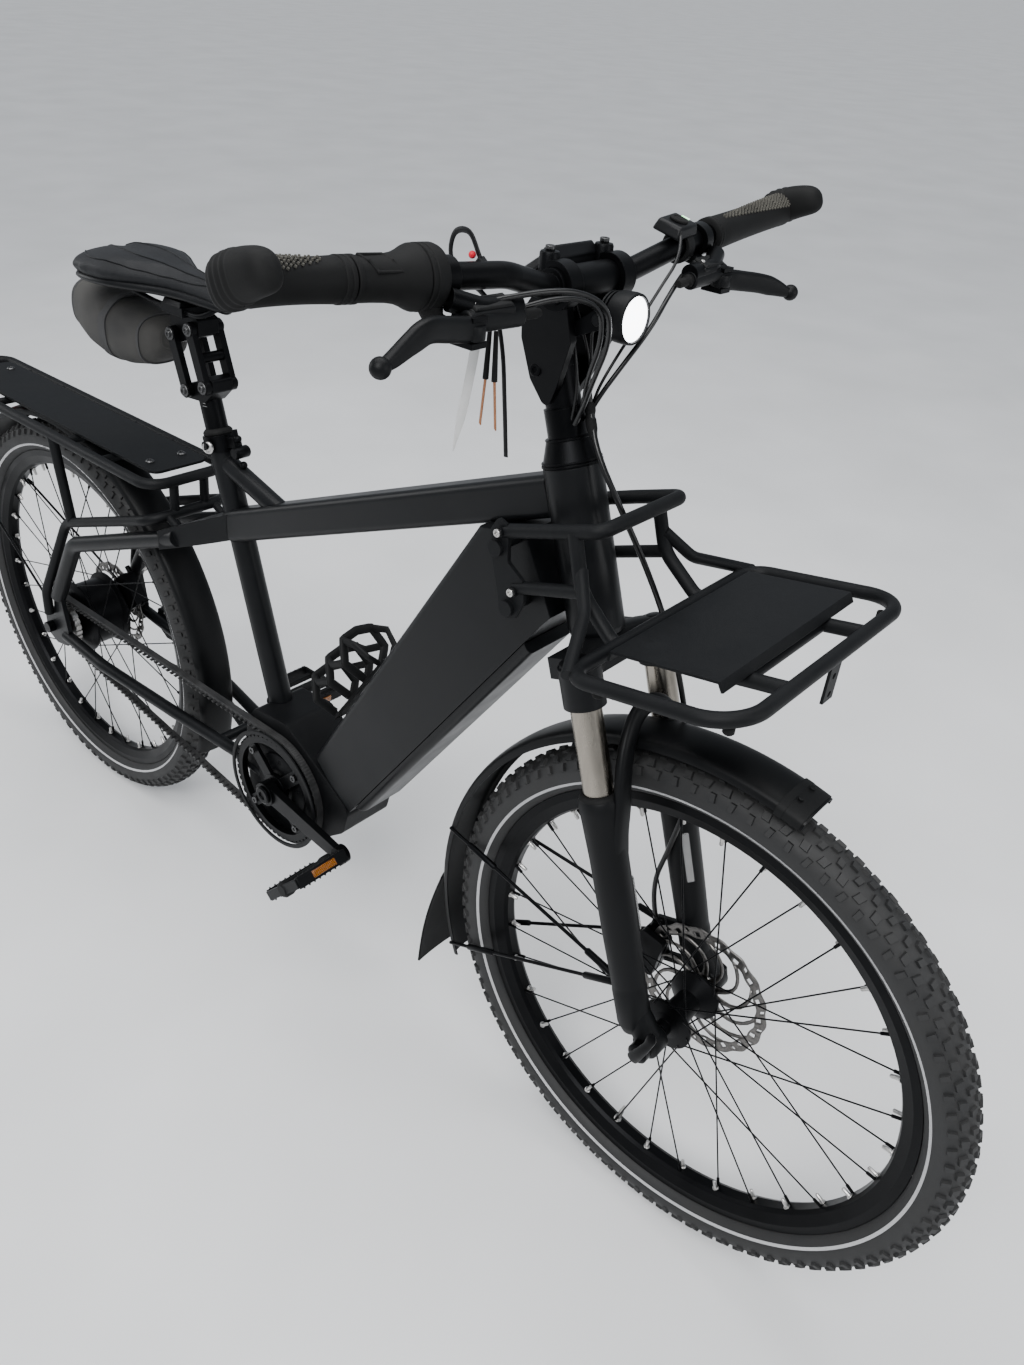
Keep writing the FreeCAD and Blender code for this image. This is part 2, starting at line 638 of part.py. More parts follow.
def make_spokes(label, place, flanges):
    """Crossed spokes, half to each flange, with a nipple at the rim on each."""
    count = int(size("spoke_count"))
    rim_inner = size("rim_radius") - size("rim_depth")
    solids = []
    for i in range(count):
        flange_y, flange_radius = flanges[i % 2]
        outside = 1 if (i // 2) % 2 else -1
        rim_angle = 2 * math.pi * i / count
        hub_angle = rim_angle + outside * 2 * math.pi * 5.2 / count
        height = flange_y + outside * 2.1 * (1 if flange_y > 0 else -1)
        hub_end = vec(flange_radius * math.cos(hub_angle), flange_radius * math.sin(hub_angle), height)
        offset = 3 if flange_y > 0 else -3
        rim_end = vec(rim_inner * math.cos(rim_angle), rim_inner * math.sin(rim_angle), offset)
        inward = (hub_end - rim_end).normalize()
        nipple = rod(rim_end - inward * 1, rim_end + inward * 11, 2)
        wire = rod(rim_end + inward * 11, hub_end, size("spoke_radius"))
        solids += [nipple, wire]
    feature(label, solids, place)


def make_rotor(label, centre, radius, bore):
    """A brake disc: a slotted outer track on curved arms, round the hub's end."""
    edges = [("0", "0", str(radius)), ("0", "0", str(radius - 15))]
    body = padded_body(label + "_track", "rotor_thickness", circles=edges)
    slot = pocket(body, circles=[(str(radius - 9), "0", "2.6")])
    polar(body, slot, 24)
    arm = DOC.addObject("Part::Feature", label + "_arms")
    arms = []
    for i in range(6):
        turn = 2 * math.pi * i / 6
        ahead = turn + 0.55
        start = vec(22 * math.cos(turn), 22 * math.sin(turn), 0)
        end = vec((radius - 10) * math.cos(ahead), (radius - 10) * math.sin(ahead), 0)
        across_arm = Z_AXIS.cross(end - start).normalize() * 3.5
        corners = [start - across_arm, end - across_arm, end + across_arm, start + across_arm]
        face = Part.Face(Part.makePolygon(corners + [corners[0]]))
        arms.append(face.extrude(vec(0, 0, size("rotor_thickness"))))
    carrier = Part.makeCylinder(bore + 12, size("rotor_thickness"))
    arm.Shape = carrier.fuse(arms).cut(Part.makeCylinder(bore, size("rotor_thickness")))
    arm.Placement = at(0, 0, -size("rotor_thickness") / 2)
    fused = DOC.addObject("Part::Fuse", label + "_disc")
    fused.Base = body
    fused.Tool = arm
    keep(fused, label, FreeCAD.Placement(centre, UPRIGHT))


def make_wheels():
    front_hub = [("6.1", "-48"), ("10", "-48"), ("10", "-38"), ("18", "-36"), ("flange_radius + 4", "-34.5"),
                 ("flange_radius + 4", "-31.5"), ("18", "-29"), ("16", "14"), ("flange_radius + 4", "27"),
                 ("flange_radius + 4", "30"), ("17", "33"), ("12", "38"), ("12", "48"), ("6.1", "48")]
    flange = size("flange_radius")
    wheel("front", FRONT_AXLE, flipped(front_hub), ((-28.5, flange), (33, flange)),
          size("front_rotor_radius"), size("front_rotor_offset"), 12.05)
    rear_hub = [("6.1", "-66"), ("16", "-66"), ("16", "-50"), ("26", "-46"), ("30", "-40"), ("56", "-36"),
                ("rear_flange_radius + 5", "-32"), ("rear_flange_radius + 5", "-28"), ("57", "-24"),
                ("57", "24"), ("rear_flange_radius + 5", "28"), ("rear_flange_radius + 5", "32"),
                ("56", "36"), ("30", "42"), ("24", "47"), ("24", "66"), ("6.1", "66")]
    flange = size("rear_flange_radius")
    wheel("rear", REAR_AXLE, rear_hub, ((-30, flange), (30, flange)),
          size("rear_rotor_radius"), size("rear_rotor_offset"), 24.05)


def flipped(outline):
    """An outline of revolution turned end for end."""
    return [(radius, "-(%s)" % height) for radius, height in reversed(outline)]


def make_axles():
    rear = rod(vec(0, -88, WHEEL_RADIUS), vec(0, 84, WHEEL_RADIUS), 6)
    nut = rod(vec(0, -92, WHEEL_RADIUS), vec(0, -80.2, WHEEL_RADIUS), 10)
    knob = rod(vec(0, 80.2, WHEEL_RADIUS), vec(0, 90, WHEEL_RADIUS), 11)
    feature("rear_axle", [rear.fuse([nut, knob]).removeSplitter()])
    front = rod(FRONT_AXLE + vec(0, -86, 0), FRONT_AXLE + vec(0, 84, 0), 6)
    boss = rod(FRONT_AXLE + vec(0, -94, 0), FRONT_AXLE + vec(0, -80, 0), 11)
    lever = slab([(-8, -8), (8, -9), (20, 44), (10, 54), (2, 48)], 7, low=-99)
    lever = soften(lever, 2, across)
    lever.translate(FRONT_AXLE)
    feature("front_axle", [front.fuse([boss, lever]).removeSplitter()])


# ---------- drive ----------

def sprocket(label, teeth, pitch_radius, centre, inner):
    """A toothed belt sprocket with an open web."""
    tip = str(pitch_radius - 0.6)
    body = padded_body(label, "belt_width", circles=[("0", "0", tip), ("0", "0", str(inner))])
    gap = 3.1
    cut = pocket(body, [[(str(pitch_radius - 3.6), str(-gap / 2)), (str(pitch_radius + 2), str(-gap)),
                         (str(pitch_radius + 2), str(gap)), (str(pitch_radius - 3.6), str(gap / 2))]])
    polar(body, cut, teeth)
    keep(body, label, FreeCAD.Placement(centre, UPRIGHT))
    return body


def make_drive():
    front_centre = BRACKET + vec(0, BELT_Y, 0)
    rear_centre = REAR_AXLE + vec(0, BELT_Y, 0)
    sprocket("rear_sprocket", int(size("rear_teeth")), REAR_PITCH, rear_centre, 24.4)
    ring_body = sprocket("sprocket_ring", int(size("front_teeth")), FRONT_PITCH, ORIGIN, FRONT_PITCH - 14)
    PARTS.remove(ring_body)
    ring_body.Placement = UNMOVED
    spider = DOC.addObject("Part::Feature", "sprocket_spider")
    hub = Part.makeCylinder(24, 8, vec(0, 0, -4)).cut(Part.makeCylinder(12.1, 8, vec(0, 0, -4)))
    arms = []
    for i in range(4):
        arm = Part.makeBox(FRONT_PITCH - 28, 20, 6, vec(20, -10, -3))
        arm.rotate(ORIGIN, Z_AXIS, 45 + 90 * i)
        arms.append(arm)
    spider.Shape = hub.fuse(arms)
    joined = DOC.addObject("Part::Fuse", "front_sprocket")
    joined.Base = ring_body
    joined.Tool = spider
    keep(joined, "front_sprocket", FreeCAD.Placement(front_centre, UPRIGHT))
    make_belt(front_centre, rear_centre)
    make_cranks()


def make_belt(front_centre, rear_centre):
    """The belt as a band round both sprockets: two arcs and their outer tangents."""
    inner = tangent_loop(front_centre, rear_centre, FRONT_PITCH - 0.3, REAR_PITCH - 0.3)
    outer = tangent_loop(front_centre, rear_centre, FRONT_PITCH - 0.3 + size("belt_thickness"),
                         REAR_PITCH - 0.3 + size("belt_thickness"))
    width = size("belt_width") + 1
    band = Part.Face(outer).cut(Part.Face(inner)).extrude(vec(0, width, 0))
    band.translate(vec(0, -width / 2, 0))
    feature("drive_belt", band.Solids)


def tangent_loop(front, rear, front_radius, rear_radius):
    """A closed wire round two circles in a plane across Y."""
    run = front - rear
    lean = math.acos((front_radius - rear_radius) / run.Length)
    heading = math.atan2(run.z, run.x)

    def rim(centre, radius, angle):
        return centre + vec(radius * math.cos(angle), 0, radius * math.sin(angle))

    up, down = heading + math.pi - lean, heading + math.pi + lean
    front_arc = Part.Arc(rim(front, front_radius, up), rim(front, front_radius, heading),
                         rim(front, front_radius, down))
    rear_arc = Part.Arc(rim(rear, rear_radius, down), rim(rear, rear_radius, heading + math.pi),
                        rim(rear, rear_radius, up))
    edges = [front_arc.toShape(),
             Part.LineSegment(rim(front, front_radius, down), rim(rear, rear_radius, down)).toShape(),
             rear_arc.toShape(),
             Part.LineSegment(rim(rear, rear_radius, up), rim(front, front_radius, up)).toShape()]
    return Part.Wire(edges)


def make_cranks():
    """Both arms and the spindle that joins them through the motor."""
    droop = math.radians(-4)
    reach = vec(math.cos(droop), 0, math.sin(droop)) * size("crank_length")
    arms = []
    for side, forward in ((-1, 1), (1, -1)):
        inner = BRACKET + vec(0, side * 70, 0)
        end = BRACKET + reach * forward + vec(0, side * 78, 0)
        boss = rod(BRACKET + vec(0, side * 63, 0), BRACKET + vec(0, side * 80, 0), 19)
        eye = rod(end + vec(0, -side * 8, 0), end + vec(0, side * 6, 0), 14)
        bar_start, bar_end = inner + reach * forward * 0.04, end - reach * forward * 0.03
        blade = Part.makeLoft([blade_section(bar_start, 15, 12), blade_section(bar_end, 11, 10)], True)
        pedal_axle = rod(end, end + vec(0, side * 92, 0), 5)
        arms.append(boss.fuse([eye, blade, pedal_axle]).removeSplitter())
    spindle = rod(BRACKET + vec(0, -74, 0), BRACKET + vec(0, 74, 0), 12)
    whole = arms[0].fuse([arms[1], spindle]).removeSplitter()
    feature("crank_arms", whole.Solids)


def blade_section(centre, half_height, width):
    """A crank arm's section across its length."""
    return upright_box(centre, width / 2, half_height)


def make_pedals():
    """Caged platform pedals with cross plates, each turning on its axle."""
    droop = math.radians(-4)
    reach = vec(math.cos(droop), 0, math.sin(droop)) * size("crank_length")
    for name, side, forward in (("pedal_right", -1, 1), ("pedal_left", 1, -1)):
        inner, outer = size("pedal_offset"), size("pedal_offset") + 92
        axle = BRACKET + reach * forward
        low, high = sorted((side * inner, side * outer))
        block = Part.makeBox(100, high - low, 20, vec(-50, low, -10))
        gaps = [Part.makeBox(28, high - low - 26, 30, vec(x, low + 13, -15)) for x in (-42, 14)]
        block = soften(block, 6, along_z)
        bore = rod(vec(0, low - 1, 0), vec(0, high + 1, 0), 5.06)
        cage = block.cut(gaps).cut(bore)
        nose_up = -46 if side < 0 else 0
        feature(name, cage.Solids, FreeCAD.Placement(axle, FreeCAD.Rotation(Y_AXIS, nose_up)))


# ---------- fork and front end ----------

def make_fork_upper():
    """Crown, steerer and the two stanchions, which turn with the bars."""
    spacing, offset = size("stanchion_spacing"), size("stanchion_offset")
    steerer = Part.makeCylinder(size("steerer_radius"), 250, vec(0, 0, -10))
    race = Part.makeCylinder(23, 7, vec(0, 0, 0))
    bridge = Part.makeBox(46, 2 * spacing, 24, vec(-16, -spacing, -24))
    solids = [steerer, race, bridge]
    for side in (-1, 1):
        solids.append(Part.makeCylinder(23, 44, vec(offset, side * spacing, -48)))
    crown = solids[0].fuse(solids[1:]).removeSplitter()
    stanchions = [Part.makeCylinder(size("stanchion_radius"), 205, vec(offset, side * spacing, -253))
                  for side in (-1, 1)]
    feature("fork_crown", [crown.cut(stanchions).Solids[0]], STEER)
    feature("stanchions", stanchions, STEER)


def make_fork_lowers():
    """Both legs, the arch over the tyre, the axle ends and the brake tabs: one casting on the stanchions."""
    spacing, offset, radius = size("stanchion_spacing"), size("stanchion_offset"), size("leg_radius")
    axle_down, axle_ahead = -size("axle_to_crown"), size("fork_rake")
    top = -154
    legs = []
    for side in (-1, 1):
        leg = Part.makeCone(radius - 1.5, radius, 300, vec(offset, side * spacing, top - 300))
        collar = Part.makeCylinder(radius + 1.5, 16, vec(offset, side * spacing, top - 16))
        end_y = side * (size("front_dropout") + 12) - 12
        dropout = Part.makeCylinder(17, 24, vec(axle_ahead, end_y, axle_down), Y_AXIS)
        link = Part.makeBox(40, 24, 52, vec(axle_ahead - 28, end_y, axle_down))
        legs += [leg, collar, dropout, link]
    arch = arch_over_tyre(spacing, offset)
    casting = legs[0].fuse(legs[1:] + [arch])
    bores = [Part.makeCylinder(size("stanchion_radius") + 0.05, 260, vec(offset, side * spacing, top - 258))
             for side in (-1, 1)]
    axle = Part.makeCylinder(6.1, 200, vec(axle_ahead, -100, axle_down), Y_AXIS)
    tab = Part.makeBox(46, 6, 60, vec(-34, 57, axle_down + 8))
    casting = casting.fuse(tab).cut(bores + [axle]).removeSplitter()
    feature("fork_lowers", casting.Solids, STEER)


def arch_over_tyre(spacing, offset):
    """A flat arch in front of the stanchions, from leg to leg over the mudguard."""
    ahead = offset + size("stanchion_radius") + 3
    outer = Part.Arc(vec(ahead, -spacing + 14, -114), vec(ahead, 0, -60), vec(ahead, spacing - 14, -114))
    inner = Part.Arc(vec(ahead, spacing - 24, -118), vec(ahead, 0, -78), vec(ahead, -spacing + 24, -118))
    left = Part.makePolygon([vec(ahead, spacing - 14, -114), vec(ahead, spacing + 2, -190),
                             vec(ahead, spacing - 22, -190), vec(ahead, spacing - 24, -118)]).Edges
    right = Part.makePolygon([vec(ahead, -spacing + 24, -118), vec(ahead, -spacing + 22, -190),
                              vec(ahead, -spacing - 2, -190), vec(ahead, -spacing + 14, -114)]).Edges
    wire = Part.Wire([outer.toShape()] + left + [inner.toShape()] + right)
    return Part.Face(wire).extrude(vec(14, 0, 0))


def make_front_fender():
    """The front mudguard with its wire stays and the rubber flap behind."""
    stays = []
    for side, root in ((-1, -50), (1, 70)):
        for angle in (200, 168):
            turn = math.radians(angle)
            tip = FRONT_AXLE + vec(math.cos(turn) * 372, side * 33, math.sin(turn) * 372)
            stays.append(rod(FRONT_AXLE + vec(-56, root, 36), tip, 2.2))
    flap = slab([(908.5, 322), (906, 322), (886, 160), (889, 160)], 84)
    fender("front_fender", FRONT_AXLE, 76, 203, mitred(stays + [flap]))


def caliper(label, axle, y, angle, radius, width):
    """A brake caliper: two halves over the disc with a bridge, and its mounting foot."""
    turn = math.radians(angle)
    body = soften(Part.makeBox(34, width, 62, vec(-17, -width / 2, -31)), 5, across)
    slot = Part.makeBox(40, 4, 70, vec(-24, -2, -35))
    body = body.cut(slot)
    upward = 1 if math.cos(turn) > 0 else -1
    banjo = Part.makeCylinder(4.5, 16, vec(10, width / 2 - 5, upward * 26), Z_AXIS * upward)
    body = body.fuse(banjo).removeSplitter()
    spin = FreeCAD.Rotation(Y_AXIS, -angle)
    centre = axle + vec(radius * math.cos(turn), y, radius * math.sin(turn))
    feature(label, body.Solids, FreeCAD.Placement(centre, spin))


# ---------- cockpit ----------

def make_stem():
    """A tall stem: collar and mast on the steerer, two diverging cheeks and a ring round the bar on each."""
    collar = Part.makeCone(31, 23, 26, vec(0, 0, 190)).fuse(Part.makeCylinder(21, 30, vec(0, 0, 216)))
    mast = Part.makeCylinder(18.5, 44, vec(0, 0, 246)).fuse(Part.makeCylinder(20, 10, vec(0, 0, 285)))
    column = collar.fuse(mast)
    column = column.cut(Part.makeCylinder(size("steerer_radius") + 0.02, 70, vec(0, 0, 180)))
    column.Placement = STEER
    outline = [(1006, 1010), (986, 1040), (977, 1080), (979, 1106), (1002, 1136), (1034, 1122),
               (1038, 1088), (1020, 1040)]
    cheek = soften(slab(outline, 9), 7, across)
    solids = [column]
    for side in (-1, 1):
        plate = cheek.copy()
        plate.rotate(vec(1000, 0, 1030), X_AXIS, -side * 11)
        plate.translate(vec(0, side * 21, 0))
        clamp = rod(BAR + vec(0, side * 32, 0), BAR + vec(0, side * 50, 0), 22)
        screw = rod(BAR + vec(-14, side * 41, 10), BAR + vec(-14, side * 41, 30), 4.5)
        solids += [plate, clamp, screw]
    cross = rod(vec(992, -30, 1090), vec(992, 30, 1090), 8)
    rest = slab([(984, 1090), (1000, 1090), (991, 1142.6), (971.6, 1128.4)], 24)
    lamp_bar = rod(vec(1029, -33, 1094), vec(1029, 33, 1094), 5)
    whole = solids[0].fuse(solids[1:] + [cross, rest, lamp_bar] + mirrored([lamp_arm()]))
    whole = whole.cut(rod(BAR + vec(0, -60, 0), BAR + vec(0, 60, 0), size("clamp_radius") + 0.02))
    whole = whole.cut(rod(vec(994, -60, 1050), vec(994, 60, 1050), 6))
    feature("stem", whole.removeSplitter().Solids)


def lamp_arm():
    """The right arm of the headlight's bracket, bored for the trunnion."""
    outline = [(1025, 1090), (1033, 1090), (1068, 1106), (1068, 1119), (1054, 1119), (1027, 1099)]
    arm = slab(outline, 3.6, low=-29.6)
    return arm.cut(rod(LAMP + vec(0, -40, 0), LAMP + vec(0, 40, 0), 4.05))


def bar_points(side):
    """The handlebar's bent centre line on one side, from the clamp outward."""
    bar_end = vec(1008, side * size("bar_half_width"), 1172)
    return [BAR, BAR + vec(0, side * 58, 0), BAR + vec(10, side * 128, 20), bar_end]


def make_handlebar():
    radius = size("bar_radius")
    centre = rod(BAR + vec(0, -54, 0), BAR + vec(0, 54, 0), size("clamp_radius"))
    sides = [pipe(bar_points(side), radius, 60) for side in (-1, 1)]
    feature("handlebar", centre.fuse(sides).removeSplitter().Solids)


def grip_place(side, start):
    """A placement on the straight grip section, its local Z outward along the bar."""
    inner, outer = bar_points(side)[2:]
    run = (outer - inner).normalize()
    reach = (start - abs(inner.y)) / abs(run.y)
    return FreeCAD.Placement(inner + run * reach, FreeCAD.Rotation(Z_AXIS, run))


def sleeve(name, rings, placement):
    """A grip-like sleeve from (distance along the bar, radius) steps."""
    outline = [("bar_radius + 0.03", str(rings[0][0]))]
    outline += [(str(radius), str(along)) for along, radius in rings]
    outline += [("bar_radius + 0.03", str(rings[-1][0]))]
    body = revolved_body(name, outline)
    body.Placement = placement
    return body


def make_grips():
    """Both grips, each with its palm end: the left one is long, the right one leaves room for the shifter."""
    right = sleeve("grip_right", [(0, 17.5), (66, 16.5), (74, 18)], grip_place(-1, 293))
    left = sleeve("grip_left", [(0, 17.5), (60, 16), (162, 17), (170, 18)], grip_place(1, 196))
    group = [right, left]
    for side in (-1, 1):
        root = vec(1004, side * 374, 1172)
        tip = root + vec(42, side * 4, 9)
        arm = Part.makeCone(16, 13, (tip - root).Length, root, tip - root)
        bar_end = Part.makeCylinder(size("bar_radius") + 0.2, 82)
        bar_end.Placement = grip_place(side, 300)
        horn = DOC.addObject("Part::Feature", "bar_end")
        horn.Shape = Part.makeSphere(19, root).fuse([arm, Part.makeSphere(13.6, tip)]).cut(bar_end)
        group.append(horn)
    grips = DOC.addObject("Part::MultiFuse", "grips")
    grips.Shapes = group
    keep(grips, "grips")


def make_twist_shifter():
    """The twist sleeve between the right lever clamp and the right grip, its wide end inboard."""
    body = sleeve("twist_shifter", [(0, 17), (52, 17), (62, 25), (80, 26), (84, 24)], UNMOVED)
    outward = grip_place(-1, 292)
    turned = outward.Rotation.multiply(FreeCAD.Rotation(X_AXIS, 180))
    keep(body, "twist_shifter", FreeCAD.Placement(outward.Base, turned))


LEVER_SIDES = ((-1, 200), (1, 176))          # side and distance of each lever's pivot from the middle
LEVER_BENDS = ((vec(12, -64, 11), vec(16, -118, -7)), (vec(17, 54, -4), vec(36, 94, -17)))
LEVER_X, LEVER_Z = 1062, 1126


def make_brake_mounts():
    """Lever clamps and master cylinders, one on each side of the bar, each with its lever's pin."""
    solids = []
    for side, reach in LEVER_SIDES:
        place = grip_place(side, reach - 8)
        clamp = Part.makeCylinder(16.5, 13)
        clamp.Placement = place
        centre = place.Base
        cylinder = pipe([vec(centre.x + 18, side * (reach + 10), centre.z - 12),
                         vec(centre.x + 30, side * (reach - 16), centre.z - 20),
                         vec(centre.x + 32, side * (reach - 58), centre.z - 22)], 9.5, 16)
        block = Part.makeBox(24, 18, 25, vec(LEVER_X - 16, side * reach - 9, LEVER_Z - 12))
        room = Part.makeCylinder(12, 16, vec(LEVER_X, side * reach, LEVER_Z - 7))
        way = Part.makeBox(40, 40, 16, vec(LEVER_X - 10, side * reach - 20 + side * 20, LEVER_Z - 7))
        pin = Part.makeCylinder(3, 22, vec(LEVER_X, side * reach, LEVER_Z - 11))
        whole = clamp.fuse([cylinder, block]).cut([room, way, bar_with_room(side)]).fuse(pin)
        solids.append(whole.removeSplitter().Solids[0])
    feature("brake_mounts", solids)


def bar_with_room(side):
    """The bar with clearance, for cutting what surrounds it."""
    return pipe(bar_points(side), size("bar_radius") + 0.03, 60)


def make_brake_levers():
    names = ("brake_lever_right", "brake_lever_left")
    for name, (side, reach), (elbow, tip) in zip(names, LEVER_SIDES, LEVER_BENDS):
        pivot = vec(LEVER_X, side * reach, LEVER_Z)
        blade = pipe([pivot, pivot + elbow, pivot + tip], 5.5, 40)
        ball = Part.makeSphere(8.5, pivot + tip)
        boss = Part.makeCylinder(10, 12, pivot - Z_AXIS * 6)
        bore = Part.makeCylinder(3.05, 30, pivot - Z_AXIS * 15)
        feature(name, boss.fuse([blade, ball]).cut(bore).removeSplitter().Solids)


def make_display():
    body = padded_body("display", "12", [[("-29", "-40"), ("29", "-40"), ("29", "40"), ("-29", "40")]])
    fillet(body, along_z, "8")
    keep(body, "display", at(978, 0, 1141, FreeCAD.Rotation(Y_AXIS, -36)))


def make_remote():
    """The button box on its strap by the left grip, and its rocking pad."""
    centre = vec(1030, 128, 1168)
    housing = soften(Part.makeBox(34, 40, 14, vec(-17, -20, 0)), 5, along_z)
    housing.translate(centre)
    well = Part.makeBox(16, 26, 6, centre + vec(-10, -13, 9))
    strap = Part.makeCylinder(15.5, 12)
    strap.Placement = grip_place(1, 136)
    feature("remote", housing.fuse(strap).cut([well, bar_with_room(1)]).removeSplitter().Solids)
    feature("remote_pad", [Part.makeBox(15.4, 25.4, 6, centre + vec(-9.7, -12.7, 10.3))])


LAMP = vec(1060, 0, 1112)                    # the headlight's tilt pivot


def make_headlight():
    """The lamp, turned round its optical axis, with two trunnions for its bracket."""
    lamp = revolved_body("lamp_body", [
        ("0", "0"), ("15", "0"), ("20", "5"), ("21.5", "5"), ("21.5", "8"), ("20", "8"), ("20", "10"),
        ("22", "10"), ("22", "13"), ("20.5", "13"), ("20.5", "15"), ("23", "15"), ("23.5", "33"),
        ("21", "35"), ("0", "35")])
    lamp.Placement = FreeCAD.Placement(LAMP + vec(-14, 0, 0), FreeCAD.Rotation(Y_AXIS, 88))
    trunnions = DOC.addObject("Part::Cylinder", "trunnions")
    trunnions.Radius = 4
    trunnions.Height = 58.6
    trunnions.Placement = FreeCAD.Placement(LAMP + vec(0, 29.3, 0), UPRIGHT)
    whole = DOC.addObject("Part::MultiFuse", "headlight")
    whole.Shapes = [lamp, trunnions]
    keep(whole, "headlight")


# ---------- seat ----------

REST_LEAN = math.radians(19)                 # how far the links lean back at rest
FRONT_PIVOT = vec(428, 0, 880)
REAR_PIVOT = vec(386, 0, 866)
LINK_UP = vec(-math.sin(REST_LEAN), 0, math.cos(REST_LEAN)) * size("link_length")


def make_seatpost():
    """The post, and on it the lower block that carries both links."""
    post = rod(on_seat_tube(600), on_seat_tube(868), size("post_radius"))
    outline = [(374, 852), (376, 872), (396, 878), (422, 892), (438, 890), (438, 874), (418, 856)]
    block = soften(slab(outline, 32), 4, across)
    bores = [rod(pivot + vec(0, -40, 0), pivot + vec(0, 40, 0), 4.1) for pivot in (FRONT_PIVOT, REAR_PIVOT)]
    feature("seatpost", post.fuse(block).cut(bores).removeSplitter().Solids)


def make_link(name, low, web):
    """One link of the parallelogram: two cheeks, two pins and, on the front one, a web."""
    high = low + LINK_UP
    solids = []
    for side in (-1, 1):
        for pivot in (low, high):
            solids.append(rod(pivot + vec(0, side * 16.4, 0), pivot + vec(0, side * 25, 0), 10))
        along = (high - low).normalize()
        sideways = vec(along.z, 0, -along.x) * 8
        corners = [low - sideways, low + sideways, high + sideways, high - sideways]
        outline = [p + vec(0, side * 20.7 - 4.3, 0) for p in corners + [corners[0]]]
        strip = Part.Face(Part.makePolygon(outline))
        solids.append(strip.extrude(vec(0, 8.6, 0)))
    pins = [rod(pivot + vec(0, -25, 0), pivot + vec(0, 25, 0), 4) for pivot in (low, high)]
    middle = (low + high) / 2
    if web:
        solids.append(rod(middle + vec(0, -20, 0), middle + vec(0, 20, 0), 7))
    whole = pins[0].fuse([pins[1]] + solids).removeSplitter()
    feature(name, whole.Solids)


def make_saddle_mount():
    """The upper block, the rail clamp on it and the two saddle rails."""
    front, rear = FRONT_PIVOT + LINK_UP, REAR_PIVOT + LINK_UP
    outline = [(rear.x - 11, rear.z - 8), (rear.x + 8, rear.z - 11), (front.x + 11, front.z - 8),
               (front.x + 11, front.z + 14), (front.x - 22, front.z + 24), (rear.x - 9, rear.z + 22)]
    block = soften(slab(outline, 32), 4, across)
    clamp = Part.makeBox(46, 58, 12, vec(354, -29, 966))
    bores = [rod(pivot + vec(0, -40, 0), pivot + vec(0, 40, 0), 4.1) for pivot in (front, rear)]
    rails = [pipe([vec(456, -8, 990), vec(432, -22, 972), vec(330, -22, 972), vec(236, -40, 990)], 3.5, 40)]
    base = block.fuse(clamp).cut(bores).cut(mirrored(rails)).removeSplitter()
    feature("saddle_mount", base.Solids + mirrored(rails))


def make_saddle():
    """The saddle as a closed form: wide at the back, narrow at the nose, crowned on top."""
    stations = [(196, 52, 1000, 22), (222, 78, 1004, 30), (276, 80, 1006, 32), (336, 54, 1005, 32),
                (386, 31, 1004, 30), (438, 22, 1002, 27), (468, 15, 999, 20)]
    sections = [oval(vec(x, 0, z), half, thick / 2) for x, half, z, thick in stations]
    solid = Part.makeLoft(sections, True)
    feature("saddle", solid.cut(shape_of("saddle_mount")).Solids)


def oval(centre, half_width, half_height):
    """A closed oval wire across X."""
    ellipse = Part.Ellipse(centre + vec(0, half_width, 0), centre + vec(0, 0, half_height), centre)
    return Part.Wire([ellipse.toShape()])


def make_saddle_bag():
    """The bag under the back of the saddle: a tapering closed form."""
    stations = [(140, 40, 936, 28), (162, 54, 926, 46), (222, 56, 912, 48), (286, 50, 908, 40),
                (326, 34, 918, 26)]
    sections = [oval(vec(x, 0, z), half, high) for x, half, z, high in stations]
    feature("saddle_bag", [Part.makeLoft(sections, True)])


# ---------- stand and small parts ----------

LEAN = math.radians(size("lean_angle"))
STAND_HINGE = vec(size("stand_x"), size("stand_y"), size("stand_height"))
HINGE_TILT = math.radians(20)
STAND_AXIS = vec(0, math.cos(HINGE_TILT), math.sin(HINGE_TILT))


def make_kickstand():
    """The leg on its inclined hinge and the foot, flat on the ground once the bike leans."""
    foot_y = size("stand_foot_offset")
    foot_z = foot_y * math.tan(LEAN)
    foot = vec(STAND_HINGE.x + 62, foot_y, foot_z)
    up = vec(0, -math.sin(LEAN), math.cos(LEAN))
    pad = Part.makeCone(19, 13, 14, foot, up)
    leg = pipe([STAND_HINGE + STAND_AXIS * 4, STAND_HINGE + vec(2, 12, -34), foot + up * 7], 9, 60)
    eye = rod(STAND_HINGE - STAND_AXIS * 1, STAND_HINGE + STAND_AXIS * 12, 15)
    pin_bore = rod(STAND_HINGE - STAND_AXIS * 12, STAND_HINGE + STAND_AXIS * 16, 5.06)
    cap_room = rod(STAND_HINGE + STAND_AXIS * 12, STAND_HINGE + STAND_AXIS * 20, 12)
    feature("kickstand", eye.fuse([leg, pad]).cut([pin_bore, cap_room]).removeSplitter().Solids)
    outline = [(70, 356), (64, 318), (90, 300), (128, 302), (134, 340), (118, 358)]
    plate = soften(slab(outline, 6.6, low=size("rear_dropout") + 14.2), 6, across)
    pin = rod(STAND_HINGE - STAND_AXIS * 10, STAND_HINGE + STAND_AXIS * 18, 5)
    cap = rod(STAND_HINGE + STAND_AXIS * 12.4, STAND_HINGE + STAND_AXIS * 17, 9)
    feature("stand_bracket", plate.fuse([pin, cap]).removeSplitter().Solids)


